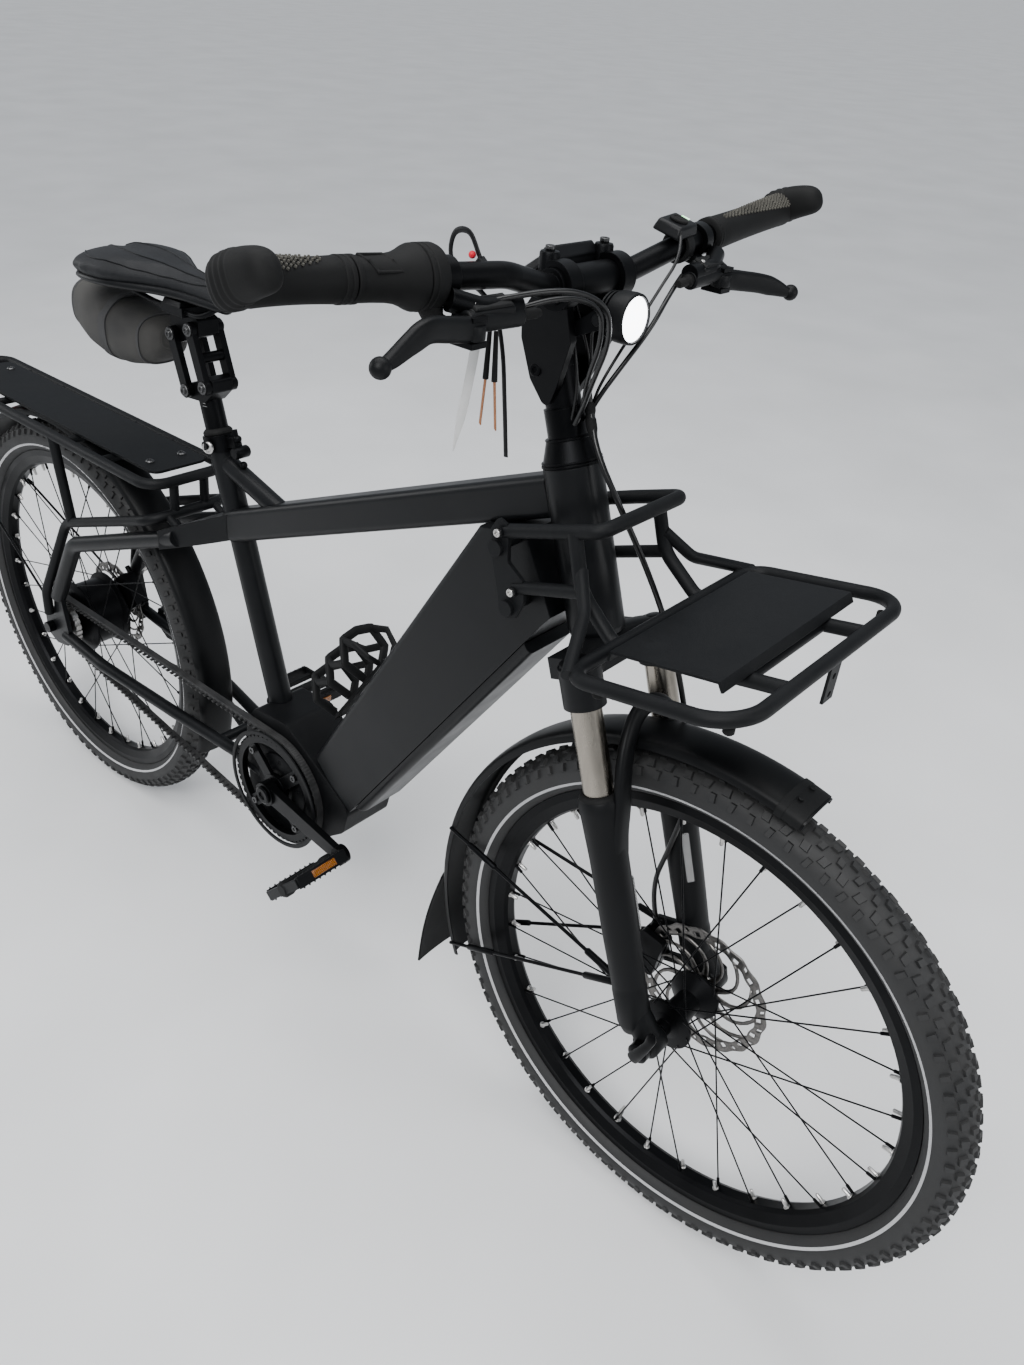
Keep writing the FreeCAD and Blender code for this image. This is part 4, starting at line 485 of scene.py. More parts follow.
def add_knob(bm, axle, turn, lateral, along, across, height, skew):
    """One tread block: a slightly waisted top on a wider foot."""
    base, top = [], []
    half_turn = along / 2 / 346
    half_lateral = across / 2 / 28
    lean = 0.18 * (1 if skew else -1)
    for a, b in ((-1, -1), (1, -1), (1, 1), (-1, 1)):
        for ring, spread, lift in ((base, 1.1, -0.6), (top, 0.86, height)):
            ring.append(bm.verts.new(tyre_point(axle, turn + half_turn * (a + lean * b) * spread,
                                                lateral + half_lateral * b * spread, lift)))
    bm.faces.new(top)
    for i in range(4):
        j = (i + 1) % 4
        bm.faces.new((base[i], base[j], top[j], top[i]))


def make_stripe(prefix, axle, side):
    """The reflective line on the sidewall."""
    bm = bmesh.new()
    inner, outer = tyre_point(Vector((0, 0, 0)), 0, side * math.radians(118), 0.25), \
        tyre_point(Vector((0, 0, 0)), 0, side * math.radians(110), 0.25)
    low, high = tyre_point(Vector((0, 0, 0)), 0, side * math.radians(118), -0.5), \
        tyre_point(Vector((0, 0, 0)), 0, side * math.radians(110), -0.5)
    turned(bm, [(p.x, p.y) for p in (inner, outer, high, low)], axle, (0, 1, 0), 180, Vector((1, 0, 0)))
    piece("%s_tyre_stripe_%s" % (prefix, "left" if side > 0 else "right"), bm, prefix + "_wheel", "stripe")


# ---------- places ----------

HEAD = math.radians(71)
STEER_UP = Vector((-math.cos(HEAD), 0, math.sin(HEAD)))
STEER_AHEAD = Vector((math.sin(HEAD), 0, math.cos(HEAD)))
CROWN = FRONT_AXLE - STEER_AHEAD * 44 + STEER_UP * 470
BRACKET = Vector((590, 0, 312))
BAR = Vector((1021, 0, 1136))
SIDES = (("right", -1), ("left", 1))
LEFTWARD = Vector((0, 1, 0))


def steer(along, ahead=0, left=0):
    """A point along, ahead of and left of the steering axis, from the crown."""
    return CROWN + STEER_UP * along + STEER_AHEAD * ahead + LEFTWARD * left


def grip_point(side, reach):
    """A point on the straight end of the handlebar, by its distance from the middle."""
    inner, outer = Vector((1031, side * 128, 1156)), Vector((1008, side * 380, 1172))
    return inner.lerp(outer, (reach - 128) / 252)


def grip_axis(side):
    return (grip_point(side, 380) - grip_point(side, 128)).normalized()


def disc(bm, centre, axis, radius, height, edge=0.6, steps=28):
    """A round boss with a chamfered outer edge, standing on its centre point along the axis."""
    turned(bm, [(0, 0), (radius, 0), (radius, height - edge), (radius - edge, height), (0, height)],
           centre, axis, steps)


def socket_screw(bm, centre, axis, radius, height):
    """A cap screw's head with its round socket."""
    turned(bm, [(0, 0), (radius, 0), (radius, height - 0.5), (radius - 0.5, height), (radius * 0.5, height),
                (radius * 0.46, height * 0.45), (0, height * 0.45)], centre, axis, 24)


def ball(bm, centre, radius):
    profile = [(radius * math.sin(math.pi * i / 14), -radius * math.cos(math.pi * i / 14)) for i in range(15)]
    turned(bm, profile, centre, (0, 1, 0), 24)


def arc_shell(bm, section, axle, start, end, steps):
    """A closed section of (radius, across) points carried round an axle between two angles."""
    rings = []
    for i in range(steps + 1):
        turn = math.radians(start + (end - start) * i / steps)
        rings.append([axle + Vector((math.cos(turn) * r, y, math.sin(turn) * r)) for r, y in section])
    ring_faces(bm, rings)


def nurbs(name, points, radius):
    """A round cord on one smooth line with these control points."""
    curve = bpy.data.curves.new(name, "CURVE")
    curve.dimensions = "3D"
    curve.bevel_depth = radius / 1000
    curve.bevel_resolution = 3
    curve.resolution_u = 10
    curve.use_fill_caps = True
    spline = curve.splines.new("NURBS")
    spline.points.add(len(points) - 1)
    for slot, point in zip(spline.points, points):
        slot.co = (*(STANCE @ Vector(point)), 1)
    spline.order_u = 3
    spline.use_endpoint_u = True
    obj = bpy.data.objects.new(name, curve)
    bpy.context.scene.collection.objects.link(obj)
    return obj


def cord(name, points, radius, body, finish, replaces=()):
    obj = nurbs(name, points, radius)
    obj.data.materials.append(MATERIALS[finish])
    dress(obj, body, replaces)
    return obj


# ---------- wheel details ----------

def make_nipples(prefix, axle):
    """The spokes' nipples and the rim's eyelets."""
    bm = bmesh.new()
    for i in range(32):
        turn = 2 * math.pi * i / 32
        out = Vector((math.cos(turn), 0, -math.sin(turn)))
        foot = axle + out * 271.5 + LEFTWARD * (-3 if i % 2 == 0 else 3)
        turned(bm, [(0, 0), (4.2, 0), (4.2, -1.0), (2.6, -1.6), (2.3, -11), (1.4, -12), (0, -12)], foot, out, 12)
    piece(prefix + "_nipples", bm, prefix + "_wheel", "steel", (), 40)


def make_valve(prefix, axle, angle):
    turn = math.radians(angle)
    out = Vector((math.cos(turn), 0, math.sin(turn)))
    bm = bmesh.new()
    profile = [(0, 0), (5.2, 0), (5.2, -2.4), (3.1, -2.8)]
    profile += [(3.1 - 0.25 * (i % 2), -3.4 - 0.9 * i) for i in range(24)]
    profile += [(2.2, -26), (2.2, -33), (1.5, -34), (0, -34)]
    turned(bm, profile, axle + out * 272, out, 18)
    piece(prefix + "_valve", bm, prefix + "_wheel", "steel", (), 40)


ROTOR_STEPS, ROTOR_ROWS = 216, 7


def make_rotor(prefix, axle, across, radius, bore):
    """A brake disc cut from sheet: a waved, slotted track on curved arms round a bolted carrier."""
    bm = bmesh.new()
    track = 15.0

    def spot(r, turn):
        return axle + Vector((math.cos(turn) * r, across, math.sin(turn) * r))

    rows = []
    for j in range(ROTOR_ROWS + 1):
        share = j / ROTOR_ROWS
        ring = []
        for i in range(ROTOR_STEPS):
            turn = 2 * math.pi * i / ROTOR_STEPS
            outer = radius - 1.3 + 1.3 * math.cos(18 * turn)
            inner = radius - track + 1.2 * math.cos(18 * turn + 1.2)
            ring.append(bm.verts.new(spot(inner + (outer - inner) * share, turn + 0.06 * share)))
        rows.append(ring)
    for j in range(ROTOR_ROWS):
        for i in range(ROTOR_STEPS):
            phase = i % 12
            slot_a = 1 <= j <= 3 and phase in (1, 2, 3)
            slot_b = 3 <= j <= 5 and phase in (7, 8)
            if slot_a or slot_b:
                continue
            k = (i + 1) % ROTOR_STEPS
            bm.faces.new((rows[j][i], rows[j][k], rows[j + 1][k], rows[j + 1][i]))
    for i in range(12):
        add_rotor_arm(bm, spot, 2 * math.pi * i / 12, bore + 8, radius - track + 1.0)
    ring_count = 72
    inner_ring = [bm.verts.new(spot(bore, 2 * math.pi * i / ring_count)) for i in range(ring_count)]
    outer_ring = [bm.verts.new(spot(bore + 11, 2 * math.pi * i / ring_count)) for i in range(ring_count)]
    for i in range(ring_count):
        k = (i + 1) % ring_count
        bm.faces.new((inner_ring[i], inner_ring[k], outer_ring[k], outer_ring[i]))
    disc_piece = piece(prefix + "_brake_disc", bm, prefix + "_wheel", "rotor", [prefix + "_rotor"], 30)
    sheet = disc_piece.modifiers.new("sheet", "SOLIDIFY")
    sheet.thickness = 0.0018
    sheet.offset = 0
    screws = bmesh.new()
    for i in range(6):
        turn = 2 * math.pi * i / 6 + 0.2
        outward = 1 if across > 0 else -1
        socket_screw(screws, spot(bore + 6, turn) + LEFTWARD * outward * 0.8, LEFTWARD * outward, 3.8, 2.4)
    piece(prefix + "_disc_screws", screws, prefix + "_wheel", "steel", (), 30)


def add_rotor_arm(bm, spot, turn, start, end):
    """One curved arm of the disc, widest at both ends."""
    steps = 8
    before = None
    for i in range(steps + 1):
        share = i / steps
        radius = start + (end - start) * share
        bend = turn + 0.62 * share - 0.22 * math.sin(math.pi * share)
        half = (2.6 + 2.4 * (2 * share - 1) ** 2) / radius
        pair = (bm.verts.new(spot(radius, bend - half)), bm.verts.new(spot(radius, bend + half)))
        if before:
            bm.faces.new((before[0], before[1], pair[1], pair[0]))
        before = pair


def mudguard_section(half=31.0, lip=361.0, rise=14.5, sheet=1.8):
    outer, inner = [], []
    for i in range(17):
        turn = math.radians(-90 + 180 * i / 16)
        crown = max(0.0, math.cos(turn)) ** 0.55
        outer.append((lip + rise * crown, half * math.sin(turn)))
        inner.append((lip + (rise - sheet) * crown, (half - sheet) * math.sin(turn)))
    return outer + inner[::-1]


def stay_wire(bm, points, radius):
    sweep(bm, smooth_line([Vector(p) for p in points], 6), radius, 12, up=(0.2, 0.9, 0.1))


def sleeve_on(bm, start, end, radius):
    """A plastic sleeve round a wire, with soft ends."""
    axis = (Vector(end) - Vector(start))
    turned(bm, [(0, 0), (radius - 1, 0), (radius, 2), (radius, axis.length - 2), (radius - 1, axis.length),
                (0, axis.length)], start, axis, 16)


def make_rear_mudguard():
    bm = bmesh.new()
    arc_shell(bm, mudguard_section(), REAR_AXLE, -18, 165, 96)
    piece("rear_mudguard", bm, "frame", "guard", ["rear_fender"], 50)
    stays = bmesh.new()
    for side in (-1, 1):
        stay_wire(stays, [(-306, side * 31, 524), (-286, side * 44, 512), (-8, side * 69, 372)], 2.2)
        sleeve_on(stays, (-300, side * 37.5, 518), (-262, side * 46.5, 500), 4.4)
    piece("rear_mudguard_stays", stays, "frame", "metal")


def make_front_mudguard():
    bm = bmesh.new()
    arc_shell(bm, mudguard_section(), FRONT_AXLE, 76, 203, 72)
    piece("front_mudguard", bm, "fork_slider", "guard", ["front_fender"], 50)
    clip = bmesh.new()
    band = mudguard_section(32.6, 360.0, 17.0, 2.2)
    arc_shell(clip, band, FRONT_AXLE, 76.4, 79.6, 4)
    arc_shell(clip, mudguard_section(33.2, 359.5, 18.0, 2.2), FRONT_AXLE, 79.6, 81.0, 2)
    for side in (-1, 1):
        foot = FRONT_AXLE + Vector((math.cos(math.radians(79)) * 378, side * 12, math.sin(math.radians(79)) * 378))
        disc(clip, foot, (0.19, 0, 0.98), 3.2, 1.8)
    piece("front_mudguard_clip", clip, "fork_slider", "plastic")
    stays = bmesh.new()
    for side, root in ((-1, -50), (1, 70)):
        for angle in (200, 168):
            turn = math.radians(angle)
            tip = FRONT_AXLE + Vector((math.cos(turn) * 369, side * 31, math.sin(turn) * 369))
            base = FRONT_AXLE + Vector((-56, root, 36))
            near = tip.lerp(base, 0.12)
            stay_wire(stays, [tip, near, base], 2.4)
            sleeve_on(stays, near, tip.lerp(base, 0.28), 4.2)
            sleeve_on(stays, base.lerp(tip, 0.2), base, 4.6)
    piece("front_mudguard_stays", stays, "fork_slider", "metal")
    make_flap()


def make_flap():
    """The rubber flap: flared, curved across and stepping out towards its lower edge."""
    bm = bmesh.new()
    rings = []
    for i in range(13):
        share = i / 12
        height = 324 - 166 * share
        half = 30 + 13 * share ** 0.8
        back = 911 - 22 * share - 6 * math.sin(math.pi * share)
        outer, inner = [], []
        for k in range(13):
            s = -1 + 2 * k / 12
            bow = 9 * (1 - s * s) * (1 - 0.5 * share)
            drop = -4 * (1 - s * s) if i == 12 else 0
            outer.append(Vector((back - bow, s * half, height + drop)))
            inner.append(Vector((back - bow + 2.6, s * (half - 1), height + drop)))
        rings.append(outer + inner[::-1])
    ring_faces(bm, rings)
    piece("mud_flap", bm, "fork_slider", "rubber", (), 50)
    patch = bmesh.new()
    rings = []
    for i in range(5):
        share = 0.35 + 0.5 * i / 4
        height = 324 - 166 * share
        back = 911 - 22 * share - 6 * math.sin(math.pi * share) - 0.7
        row = [Vector((back - 9 * (1 - (s * 0.55) ** 2) * (1 - 0.5 * share), s * 22, height))
               for s in (-1, -0.5, 0, 0.5, 1)]
        rings.append(row + [p + Vector((1.0, 0, 0)) for p in reversed(row)])
    ring_faces(patch, rings)
    piece("mud_flap_patch", patch, "fork_slider", "patch", (), 50)


def make_wheels():
    for prefix, axle in (("front", FRONT_AXLE), ("rear", REAR_AXLE)):
        make_tyre(prefix, axle)
        make_nipples(prefix, axle)
    make_valve("front", FRONT_AXLE, -101)
    make_valve("rear", REAR_AXLE, 40)
    make_rotor("front", FRONT_AXLE, 43, 90, 12.4)
    make_rotor("rear", REAR_AXLE, 49, 80, 24.4)


# ---------- fork ----------

def make_fork_casting():
    """Both legs with their collars, the arch over the tyre and the axle ends, as one smooth casting."""
    bm = bmesh.new()
    for side in (-1, 1):
        foot = steer(0, 26, side * 68)
        turned(bm, [(0, -461), (9, -461), (16, -456), (20, -444), (20.4, -400), (19.6, -396), (19.8, -392),
                    (21, -330), (21.8, -230), (23.4, -184), (24.2, -168), (24, -157), (22.4, -153.5),
                    (18.4, -153), (17.6, -156), (17.6, -164), (0, -164)], foot, STEER_UP, 48)
        end = steer(-470, 44, side * 67)
        sweep(bm, smooth_line([steer(-405, 26, side * 68), steer(-435, 32, side * 68), steer(-462, 41, side * 67.5),
                               steer(-480, 47, side * 67)], 5), [13, 13.5, 14, 14.5, 15, 15.5, 16, 16.5, 16.5, 16.5,
                                                                 16.5, 16.5, 16, 15, 13, 10], 20,
              up=(0, 1, 0))
        turned(bm, [(6.3, -12.5), (15.5, -12.5), (17, -11), (17, 11), (15.5, 12.5), (6.3, 12.5)], end, LEFTWARD, 40)
    piece("fork_casting", bm, "fork_slider", "satin", ["fork_lowers"], 50)
    arch = bmesh.new()
    half = [(-262, 33, 67), (-226, 40, 67), (-196, 45, 66), (-166, 50, 62), (-134, 52, 56), (-104, 53, 44),
            (-80, 53, 24),
            (-72, 53, 0)]
    path = [steer(a, f, -y) for a, f, y in half] + [steer(a, f, y) for a, f, y in half[-2::-1]]
    line = smooth_line(path, 6)
    rings = []
    for i, point in enumerate(line):
        ahead = (line[min(i + 1, len(line) - 1)] - line[max(i - 1, 0)]).normalized()
        out = STEER_AHEAD.cross(ahead).normalized()
        share = abs(2 * i / (len(line) - 1) - 1)
        wide = 13.5 - 3.0 * (1 - share) + 4.0 * max(0, share - 0.72)
        rings.append(oval_ring(point, out, STEER_AHEAD, wide, 6.4, 24, 2.6))
    ring_faces(arch, rings)
    piece("fork_arch", arch, "fork_slider", "satin", (), 60, 1)
    tabs = bmesh.new()
    for along in (-452, -400):
        block(tabs, steer(along, -4, 60), (34, 7, 14), STEER_AHEAD, STEER_UP)
    sweep(tabs, [steer(-455, -16, 60), steer(-396, -16, 60)], 5.5, 16, up=(0, 1, 0))
    piece("caliper_tabs", tabs, "fork_slider", "satin", (), 35, 0, 1.2)


def make_fork_details():
    for name, side in SIDES:
        strip = bmesh.new()
        face = (STEER_AHEAD * 0.72 - LEFTWARD * side * 0.69).normalized()
        centre = steer(-292, 26, side * 68) + face * 21.6
        block(strip, centre, (9, 3.6, 66), face.cross(STEER_UP), STEER_UP)
        piece("fork_reflector_" + name, strip, "fork_slider", "white_prism", (), 35, 0, 1.6)
        rim = bmesh.new()
        block(rim, centre - face * 1.2, (11.4, 2.4, 69), face.cross(STEER_UP), STEER_UP)
        piece("fork_reflector_frame_" + name, rim, "fork_slider", "plastic", (), 35, 0, 1.2)
        cap = bmesh.new()
        turned(cap, [(0, -1), (19, -1), (20.5, 0.4), (20.5, 4), (18, 5.5), (9, 6.4), (8, 9.4), (5.5, 10), (0, 10)],
               steer(-4, 26, side * 68), STEER_UP, 40)
        piece("crown_cap_" + name, cap, "steering", "metal", (), 30)
        wiper = bmesh.new()
        turned(wiper, [(17.35, -2), (22, -2), (22.6, 0), (21, 3.2), (18.4, 4.4), (17.35, 4.4)],
               steer(-153, 26, side * 68), STEER_UP, 40)
        piece("fork_wiper_" + name, wiper, "fork_slider", "rubber", (), 40)
    crown = bmesh.new()
    rings = []
    for i in range(17):
        s = -1 + 2 * i / 16
        lift = 7 * (1 - s * s)
        wide = 20 - 3.0 * (1 - abs(s)) - (9 * max(0, abs(s) - 0.93) / 0.07)
        high = 20 - 2.0 * abs(s) - (9 * max(0, abs(s) - 0.93) / 0.07)
        rings.append(oval_ring(steer(-16 + lift, 8 + 16 * abs(s) ** 1.4, s * 80), STEER_AHEAD, STEER_UP,
                               wide, high, 24, 3.2))
    ring_faces(crown, rings)
    piece("crown_shell", crown, "steering", "satin", (), 60, 1)
    lever = bmesh.new()
    sweep(lever, smooth_line([FRONT_AXLE + Vector(p) for p in ((-2, -99, -4), (6, -101, 14), (14, -101, 34),
                                                             (17, -99, 52))], 5),
          [7.5, 7.6, 7.4, 7, 6.8, 6.4, 6.2, 6, 5.8, 5.6, 5.4, 5.6, 6, 6.2, 5, 2.4], 16, 0.55, (0, 1, 0))
    turned(lever, [(0, -96), (10, -96), (12.5, -94), (12.5, -84), (11, -82), (6.4, -80), (0, -80)],
           FRONT_AXLE, LEFTWARD, 36)
    turned(lever, [(0, 80), (9, 80), (11, 82), (11, 89), (8, 92), (0, 92)], FRONT_AXLE, LEFTWARD, 6)
    piece("axle_lever", lever, "fork_slider", "metal", ["front_axle"], 40)


# ---------- cockpit ----------

def make_grip(name, side, start):
    """One grip: end rings, a smooth waist, a lattice band on top and the palm end."""
    bm = bmesh.new()
    length = 384 - start
    profile = [(11.4, 0), (16.4, 0), (17.8, 1), (17.8, 4), (17.0, 4.6), (17.0, 5.6), (17.8, 6.2), (17.8, 9.4),
               (16.6, 10.2)]
    profile += [(16.2 + 0.9 * (2 * i / 10 - 1) ** 2, 12 + (length - 24) * i / 10) for i in range(11)]
    profile += [(17.4, length - 8), (16.6, length), (11.4, length)]
    turned(bm, profile, grip_point(side, start), grip_axis(side), 48)
    piece("grip_%s" % name, bm, "steering", "rubber", ["grips"] if side < 0 else (), 40)
    palm = bmesh.new()
    root, tip = Vector((986, side * 382, 1163)), Vector((1053, side * 387, 1190))
    along = (tip - root).normalized()
    upward = along.cross(LEFTWARD).normalized()
    if upward.z < 0:
        upward = -upward
    rings = []
    stations = 40
    for i in range(stations + 1):
        share = i / stations
        swell = max(0.02, 1 - (2 * share - 1) ** 6) ** 0.5
        body = 20.5 - 6.0 * share ** 1.3
        rib = 0.55 * math.sin(share * 62) if 0.14 < share < 0.5 else 0.0
        centre = root.lerp(tip, share) + upward * (3.5 * math.sin(math.pi * share))
        rings.append(oval_ring(centre, LEFTWARD, upward, (body * 0.86 + rib) * swell, (body + rib) * swell, 36, 2.5))
    ring_faces(palm, rings)
    piece("palm_end_%s" % name, palm, "steering", "rubber", (), 50)
    make_lattice(name, side, start)


def make_lattice(name, side, start):
    """The raised diagonal lattice on the grip's upper side, narrowing away from the palm."""
    bm = bmesh.new()
    axis = grip_axis(side)
    top = (Vector((0, 0, 1)) - axis * axis.z).normalized()
    back = axis.cross(top)
    if back.x > 0:
        back = -back
    long_end = 372
    short_end = start + 22
    steps = int((long_end - short_end) / 3.4)
    for i in range(steps):
        reach = long_end - 3.4 * i
        share = i / steps
        half = 40 * (1 - share) + 8
        count = max(2, int(half * 2 / 11))
        for k in range(count):
            angle = math.radians(-half + 2 * half * (k + 0.5 * (i % 2)) / count - 16)
            out = top * math.cos(angle) + back * math.sin(angle)
            centre = grip_point(side, reach) + out * 17.5
            turn_in = (axis + out.cross(axis)).normalized()
            block(bm, centre, (2.1, 2.1, 1.5), turn_in, out, 0.7)
    piece("grip_lattice_%s" % name, bm, "steering", "lattice", (), 0)


def make_shifter():
    """The twist sleeve with its raised mark panel, and the drum that stays put beside the lever clamp."""
    bm = bmesh.new()
    outer = grip_point(-1, 292)
    inward = -grip_axis(-1)
    turned(bm, [(11.4, 0), (17.0, 0), (17.9, 0.8), (17.9, 4.2), (17.1, 5), (17.2, 20), (17.8, 34), (19.2, 44),
                (22, 52), (24.4, 57), (25.4, 60), (25.4, 62.6), (24.2, 63.4), (11.4, 63.4)], outer, inward, 64)
    piece("twist_sleeve", bm, "shifter", "rubber", ["twist_shifter"], 40)
    panel = bmesh.new()
    up = Vector((0.55, 0.1, 0.83)).normalized()
    face = (up - inward * up.dot(inward)).normalized()
    rightward = inward.cross(face)
    for du, dv in ((-11, -9), (11, -9), (11, 9), (-11, 9)):
        a = outer + inward * (24 + du + dv * 0.5) + rightward * dv + face * (17.2 - abs(dv) * 0.24)
        ball(panel, a, 1.5)
    corners = [outer + inward * (24 + du + dv * 0.5) + rightward * dv + face * (17.4 - abs(dv) * 0.24)
               for du, dv in ((-11, -9), (0, -9), (11, -9), (11, 0), (11, 9), (0, 9), (-11, 9), (-11, 0), (-11, -9))]
    for a, b in zip(corners[:-1], corners[1:]):
        sweep(panel, [a, b], 1.3, 10, up=face + inward * 0.3)
    piece("twist_panel", panel, "shifter", "rubber", (), 40)
    drum = bmesh.new()
    turned(drum, [(11.4, 64), (24.6, 64), (25.8, 65), (25.8, 68), (25.1, 68.6), (25.1, 69.6), (25.9, 70.2),
                  (26.0, 79), (25, 82), (22.4, 84), (18, 84.6), (11.4, 84.6)], outer, inward, 64)
    low = outer + inward * 74
    sweep(drum, smooth_line([low + Vector((4, 0, -8)), low + Vector((8, 1, -22)), low + Vector((12, 5, -31)),
                             low + Vector((16, 16, -34))], 5),
          [11, 11, 11, 10.8, 10.6, 10.4, 10, 9.6, 9.2, 8.6, 8, 7.2, 6.4, 5.6, 4.8, 3.6], 18, up=(0, 1, 0))
    piece("twist_drum", drum, "steering", "rubber", (), 40)


LEVER_LINES = {
    "right": [(1062, -192, 1127), (1064, -214, 1130), (1068, -236, 1134), (1073, -262, 1138), (1075, -282, 1132),
              (1077, -302, 1124), (1078, -315, 1120)],
    "left": [(1062, 168, 1126), (1065, 190, 1125), (1071, 208, 1123), (1079, 230, 1120), (1087, 247, 1116),
             (1093, 259, 1112), (1097, 268, 1110)],
}


def make_levers():
    """Each brake lever: a thick root, a flattened finger blade and the ball end."""
    for name, side in SIDES:
        bm = bmesh.new()
        line = smooth_line([Vector(p) for p in LEVER_LINES[name]], 6)
        last = len(line) - 1
        rings = []
        for i, point in enumerate(line):
            share = i / last
            ahead = (line[min(i + 1, last)] - line[max(i - 1, 0)]).normalized()
            right = ahead.cross(Vector((0, 0, 1))).normalized()
            tall = 10.5 - 1.0 * share if share < 0.6 else 9.9 - 4.6 * min(1, (share - 0.6) / 0.3)
            rings.append(oval_ring(point, right, right.cross(ahead), 6.6 - 1.6 * share, tall, 24, 3.0))
        ring_faces(bm, rings)
        ball(bm, LEVER_LINES[name][-1], 8.4)
        pivot = Vector((1062, side * (200 if side < 0 else 176), 1120))
        turned(bm, [(0, 0), (10, 0), (10.6, 1), (10.6, 11), (10, 12), (0, 12)], pivot, (0, 0, 1), 32)
        piece("lever_blade_" + name, bm, name + "_lever", "satin", ["brake_lever_" + name], 50)


def make_master_details():
    """On each lever clamp: the reservoir lid, its screws, the clamp bolt and the hose nut."""
    for name, side in SIDES:
        reach = 200 if side < 0 else 176
        body = bmesh.new()
        along = Vector((0.12, -side, 0.02)).normalized()
        centre = Vector((1056, side * (reach - 22), 1139))
        block(body, centre, (52, 21, 12), along, (0.35, 0, 0.94), 0.86)
        block(body, centre + Vector((-16, side * 12, 2)), (20, 30, 9), along, (0.2, 0, 0.98), 0.8)
        sweep(body, [centre + Vector((2, side * 28, -6)), centre + Vector((4, -side * 36, -8))], 9.4, 20, up=(0, 0, 1))
        piece("master_body_" + name, body, "steering", "satin", (), 35, 0, 1.6)
        lid = bmesh.new()
        up = Vector((0.35, 0, 0.94)).normalized()
        block(lid, centre + up * 7.2, (42, 17, 2.6), along, up, 0.92)
        piece("master_lid_" + name, lid, "steering", "plastic", (), 35, 0, 0.8)
        screws = bmesh.new()
        for share in (-17, 17):
            socket_screw(screws, centre + along * share + up * 8.2, up, 2.4, 1.6)
        place_on_bar = grip_point(side, reach)
        for drop in (-1, 1):
            socket_screw(screws, place_on_bar + Vector((-14, 0, drop * 12)), (-1, 0, 0), 3.2, 3.4)
        piece("master_screws_" + name, screws, "steering", "steel", (), 35)
        nut = bmesh.new()
        end = centre + Vector((4, -side * 36, -8))
        turned(nut, [(0, 0), (6.4, 0), (6.4, 5), (4.6, 6), (4.6, 20), (3.4, 24), (0, 24)], end,
               Vector((0.12, -side, -0.02)), 12)
        piece("hose_nut_" + name, nut, "steering", "rubber", (), 35)


def make_headlight():
    """The finned lamp housing and its lit lens behind a bezel."""
    base, axis = Vector((1046, 0, 1112)), Vector((0.99939, 0, 0.0349))
    bm = bmesh.new()
    turned(bm, [(0, 0), (11, 0), (15, 2), (18, 5), (18, 7), (21.4, 7.6), (21.4, 9.2), (19, 9.8), (19, 11.4),
                (22, 12), (22, 13.6), (19.4, 14.2), (19.4, 15.8), (22.6, 16.4), (23.4, 20), (23.8, 31), (23.2, 35.4),
                (22.2, 36.4), (20.8, 36.2), (20.2, 32.5), (0, 32.5)], base, axis, 72)
    for side in (-1, 1):
        turned(bm, [(0, 18), (4, 18), (4, 26), (6, 27), (6, 30.6), (5, 31.4), (0, 31.4)], (1060, 0, 1112),
               LEFTWARD * side, 28)
    piece("lamp_housing", bm, "lamp", "satin", ["headlight"], 32)
    lens = bmesh.new()
    turned(lens, [(0, 32.6), (20, 32.6), (20.3, 34.4), (16, 35.6), (8, 36.4), (0, 36.6)], base, axis, 64)
    piece("lamp_lens", lens, "lamp", "lamp_glow", (), 60)


def make_display():
    """The display: a chamfered case on its bracket and a dark glass face."""
    along, out = Vector((0.809, 0, 0.588)), Vector((-0.588, 0, 0.809))
    centre = Vector((978, 0, 1141))
    bm = bmesh.new()
    block(bm, centre - out * 1.2, (59, 82, 8.6), along, out, 0.94)
    block(bm, centre - out * 9.5 + along * 4, (52, 74, 13), along, -out, 0.72)
    block(bm, centre + along * 27 + out * 1.5, (6, 78, 14), along, out, 0.9)
    piece("display_case", bm, "steering", "cover", ["display"], 35, 0, 2.2)
    glass = bmesh.new()
    block(glass, centre + out * 3.6, (50, 71, 1.2), along, out, 0.98)
    piece("display_glass", glass, "steering", "screen", (), 35, 0, 0.5)


def make_remote():
    """The remote's own case over its strap: a sloped top, a rocker with a ring and a small green light."""
    centre = Vector((1030, 128, 1177))
    along = grip_axis(1)
    up = Vector((0.25, 0.05, 0.97)).normalized()
    case = bmesh.new()
    block(case, centre - up * 1.5, (40, 33, 12), along, up, 0.84)
    piece("remote_case", case, "steering", "cover", ["remote"], 35, 0, 2.6)
    band = bmesh.new()
    turned(band, [(11.4, -6), (15.8, -6), (16.4, -5), (16.4, 5), (15.8, 6), (11.4, 6)], grip_point(1, 136), along, 40)
    block(band, grip_point(1, 136) + Vector((-14, 0, -9)), (12, 10, 9), along, (0, 0, 1))
    piece("remote_band", band, "steering", "plastic", (), 35, 0, 0.8)
    pad = bmesh.new()
    turned(pad, [(0, 0), (9.5, 0), (9.5, 1.6), (8.5, 2.4), (6.2, 2.4), (5.6, 1.7), (3.4, 1.7), (2.8, 2.2), (0, 2.4)],
           centre + up * 4.4, up, 40)
    piece("remote_rocker", pad, "button", "rubber", ["remote_pad"], 30)
    light = bmesh.new()
    block(light, centre + up * 4.6 + along * 14, (2.4, 9, 1.0), along, up)
    piece("remote_light", light, "steering", "green_light", (), 0)


